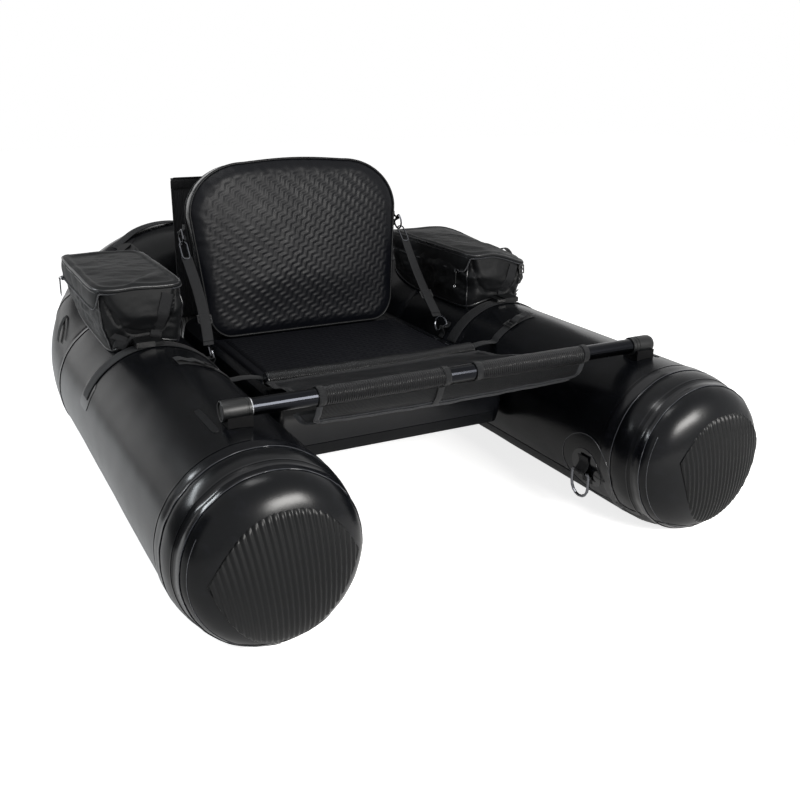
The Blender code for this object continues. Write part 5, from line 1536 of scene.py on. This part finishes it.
# %% Shells, lids and hinge tapes
def make_bag(word, side):
    levels = [(h, 0.0) for h in [-0.02] + shares(44)] + [(h, -0.0035) for h in (1.0, 0.75, 0.4, 0.12)]
    points = [bag_point(word, side, turn, h, out) for h, out in levels for turn in angles(TURNS)]
    uvs = [(0.19 * k / 64, 0.12 * h) for h, _ in levels for k in range(TURNS)]
    faces = grid_faces(len(levels), TURNS, True)
    faces.append(tuple(range(len(points) - TURNS, len(points))))
    body = make_piece(word + "_bag_shell", points, faces, BAG_CLOTH, "hull", uvs, 70)
    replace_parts(body, word + "_bag_body")
    return body


def make_lid(word, side):
    """The gusset in rings up to the lid's edge, then the top in rings towards its middle."""
    (low, high), shape = LID_BOX[word], BAG_SHAPES[word]
    cx, cy, seed = (low.x + high.x) / 2, (low.y + high.y) / 2, shape["seed"]
    edges = [lid_edge(word, side, turn) for turn in angles(TURNS)]
    points, uvs = [], []
    for share in shares(7):
        for k, (edge, way, depth) in enumerate(edges):
            spot = edge - UP * depth * (1 - share)
            belly = math.sin(math.pi * share) * (0.0020 + 0.0026 * ruffle(spot, 36, seed + 4))
            points.append(spot + way * (0.0030 + belly))
            uvs.append((k * 0.003, share * 0.03))
    base = LID_TOP - 0.0092 - shape["slump"] * 0.25
    for share in (1 - t * 0.985 for t in shares(44)[1:]):
        for edge, _, _ in edges:
            x, y = cx + (edge.x - cx) * share, cy + (edge.y - cy) * share
            spot, soft = Vector((x, y, 0)), 1 - share ** 8
            rise = shape["dome"] * (1 - share ** 2.4) + 0.0030 * math.exp(-((share - 0.93) / 0.05) ** 2)
            rise -= 0.0030 * soft * (0.5 + ruffle(spot, 95, seed + 5))
            crease = 0.0017 * (1 - 2 * abs(ruffle(spot, 80, seed + 6))) + 0.0008 * ruffle(spot, 20, seed + 7)
            rise += 0.75 * shape["crumple"] ** 0.5 * soft * crease
            fold = (x - cx) * -side * 0.80 - (y - low.y - 0.050) * 0.60
            reach = smooth_step(0.16, 0.05, y - low.y) * smooth_step(0.0, 0.04, y - low.y)
            rise += shape["fold"] * reach * math.exp(-(fold / (0.006 if fold < 0 else 0.020)) ** 2)
            height = base + (edge.z - base) * share ** 3
            points.append(Vector((x, y, min(height + rise, LID_TOP + 0.007))))
            uvs.append((x, y))
    faces = grid_faces(len(points) // TURNS, TURNS, True)
    faces.append(tuple(range(len(points) - TURNS, len(points))))
    lid = make_piece(word + "_lid_cloth", points, faces, BAG_CLOTH, word + "_lid", uvs, 70)
    give_thickness(lid, 0.0015, 1.0)
    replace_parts(lid, word + "_bag_lid")
    return lid


def make_hinge_tape(word, side):
    """A tape from the rim to the lid on the hinge's side, +X on both bags."""
    low, high = BAG_BOX[word]
    rim_x, middle, half = bag_point(word, side, 0.0, 1.0).x, (low.y + high.y) / 2, (high.y - low.y) / 2
    points = []
    for y in (low.y + 0.032 + (high.y - low.y - 0.064) * share for share in shares(48)):
        z = lid_edge(word, side, math.atan((y - middle) / (half - 0.001)))[0].z - 0.0050
        points += [Vector((rim_x + 0.0005 - 0.0155 * t, y, z + 0.0014 * t)) for t in shares(6)]
    tape = make_piece(word + "_hinge_tape", points, grid_faces(49, 7), BAG_CLOTH, None)
    apply_modifiers(give_thickness(tape, 0.0010))
    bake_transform(tape)


for word, side in SIDES:
    make_hinge_tape(word, side)
    body, lid = make_bag(word, side), make_lid(word, side)
    print(word, "bag", len(body.data.vertices), "lid", len(lid.data.vertices))


# %% [markdown]
# ## Piping, zips and webbing of the bags
#
# Sewn edges are finished with piping, which is a cord inside a folded strip. The zip is a nylon
# coil on a tape with its slider at the open end. Webbing bands hold loops and a spare strap.
# These fine lines make the bag read as sewn cloth rather than a dark lump.

# %% Trim of the bags
def lid_line(word, side, first, last, steps, out, drop, from_hem=False):
    """A line round the lid between two turns, in degrees, where 180 is the -X side and 270 the front."""
    line = []
    for t in shares(steps):
        edge, way, depth = lid_edge(word, side, math.radians(first + (last - first) * t))
        line.append(edge + way * out - UP * (drop + depth if from_hem else drop))
    return line


def piping(name, line, radius, body="hull", finish=PIPING, closed=False, sides=8):
    cord(name, line, radius, finish, body, closed, sides)


for word, side in SIDES:
    lid_body = word + "_lid"
    piping(word + "_lid_piping", lid_line(word, side, 0, 360, 240, 0.0034, -0.0006)[:-1], 0.0022, lid_body,
           closed=True)
    piping(word + "_lid_stitch_line", lid_line(word, side, 96, 318, 200, 0.0046, 0.0062), 0.0013, lid_body, sides=6)
    zip_line = lid_line(word, side, 128, 222, 160, 0.0042, -0.0026, True)
    strap(word + "_zip_tape_upper", zip_line, UP, 0.011, 0.0012, BINDING, lid_body)
    piping(word + "_zip_coil", lid_line(word, side, 92, 322, 220, 0.0054, 0.0020, True), 0.0019, lid_body, ZIP_COIL)
    for turn, name in ((225, "outer"), (315, "inner")):
        line = [bag_point(word, side, math.radians(turn), h, 0.0012) for h in shares(24)]
        piping(f"{word}_corner_piping_{name}", line, 0.0023)
    base = [bag_point(word, side, turn, 0.015, 0.0016) + UP * 0.0015 for turn in angles(240)]
    piping(word + "_base_piping", base, 0.0022, closed=True)
    band = [bag_point(word, side, math.radians(297 - 17 * t), 0.92 - 0.86 * t, 0.0022) for t in shares(30)]
    strap(word + "_front_band", band, (band[0] - band[-1]).cross(AFT), 0.024, 0.0014, WEBBING)
    for name, first, step, rise, out, bow, axis, width in (
            ("corner_loop", 228, 2.2, lambda k: 0.10 + 0.05 * math.sin(k * 1.1), 0.004, 0.006, (0.3, 0, 1), 0.016),
            ("corner_loop_cross", 246, -1.6, lambda k: 0.04 + 0.026 * k, 0.003, 0.004, (1, 0, 0.8), 0.014)):
        ends = []
        for k in range(11):
            turn = first + k * step if side < 0 else 540 - (first + k * step)
            ends.append(bag_point(word, side, math.radians(turn), rise(k), out + bow * math.sin(math.pi * k / 10)))
        strap(f"{word}_{name}", smooth_path(ends, 3), Vector(axis), width, 0.0014, WEBBING)


# %% [markdown]
# ## Zip sliders
#
# A slider is a small cast body, 17 mm long, with a wire bail on top and a pull that hangs from
# it. It stands in for the CAD slider and rides on the zip's own body, so it runs along the coil.

# %% Sliders with their pulls
SLIDER_OUTLINE = [(0.0085, 0.0030), (0.0050, 0.0046), (-0.0050, 0.0046), (-0.0085, 0.0022), (-0.0085, -0.0022),
                  (-0.0050, -0.0046), (0.0050, -0.0046), (0.0085, -0.0030)]
SLIDER_LEVELS = [(-0.0030, 0.96), (-0.0026, 1.0), (0.0018, 1.0), (0.0026, 0.86)]


def make_slider(word, side):
    """The slider straddles the coil, and its pull hangs from the end."""
    low, high = corners(word + "_zip_slider")
    edge, _, depth = lid_edge(word, side, math.pi)
    place = frame_on(-ACROSS, AFT, (edge.x - 0.0068, (low.y + high.y) / 2, edge.z - depth - 0.0022))
    points = [place @ Vector((a * scale, b * scale, lift)) for lift, scale in SLIDER_LEVELS for a, b in SLIDER_OUTLINE]
    faces = grid_faces(4, 8, True) + [tuple(range(8))[::-1], tuple(range(24, 32))]
    slider = make_piece(word + "_slider_body", points, faces, BLACK_NICKEL, word + "_zip", None, 30)
    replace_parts(slider, word + "_zip_slider")
    ring = [place @ Vector((0.0, 0.0030 * math.cos(a), 0.0050 + 0.0028 * math.sin(a))) for a in angles(16)]
    cord(word + "_slider_bail", ring, 0.0008, BLACK_NICKEL, word + "_zip", closed=True, sides=6)
    hang = [place @ Vector((0.0, 0.0, 0.0062)) + Vector((-0.0008 * t, 0, -0.036 * t)) for t in shares(5)]
    strap(word + "_slider_pull", hang, AFT, 0.0075, 0.0022, ACETAL, word + "_zip")
    eye = [hang[-1] + Vector((0, 0.0034 * math.cos(a), -0.002 + 0.0034 * math.sin(a))) for a in angles(16)]
    cord(word + "_slider_pull_eye", eye, 0.0011, BRIGHT_RING, word + "_zip", closed=True, sides=6)


for word, side in SIDES:
    make_slider(word, side)


# %% [markdown]
# ## Loops and loose ends
#
# The right bag has a lash loop on its lid and a strap with its slider at the shoulder below it.
# On the left the spare ends of two straps hang down the pontoon. Such odds and ends break up
# the plain outline of the bags.

# %% Lash loop, shoulder strap and spare tails
arch = [lid_edge("right", 1, math.radians(338 - k))[0]
        + Vector((0.001, 0, 0.001 + 0.015 * math.sin(math.pi * k / 12) ** 0.7)) for k in range(13)]
strap("right_lash_loop", arch, ACROSS, 0.013, 0.0014, WEBBING, "right_lid")
spot, below = (bag_point("right", 1, math.radians(311), h, 0.0062) for h in (0.86, 0.70))
make_ladder("right_shoulder_slider", spot, below - spot, Vector((0.5, -0.85, 0.1)), 0.022)
tail = [bag_point("right", 1, math.radians(311), 0.98 - 0.045 * k, 0.004 + 0.002 * math.sin(k)) for k in range(12)]
strap("right_shoulder_strap", tail, Vector((0.85, 0.5, 0)), 0.018, 0.0014, WEBBING)
for k, (width, reach) in enumerate(((0.020, 1.0), (0.016, 0.8))):
    hang = []
    for share in (t * reach for t in shares(11)):
        angle, out = math.radians(38 + 20 * share), TUBE_R + 0.004 + 0.004 * k + 0.003 * math.sin(3 * share)
        hang.append(Vector((-SPACING - out * math.sin(angle), 0.425 - 0.085 * share - 0.022 * k,
                            TUBE_R + out * math.cos(angle))))
    strap(f"left_spare_tail_{k}", hang, AFT, width, 0.0014, WEBBING)
print("bag trim made")
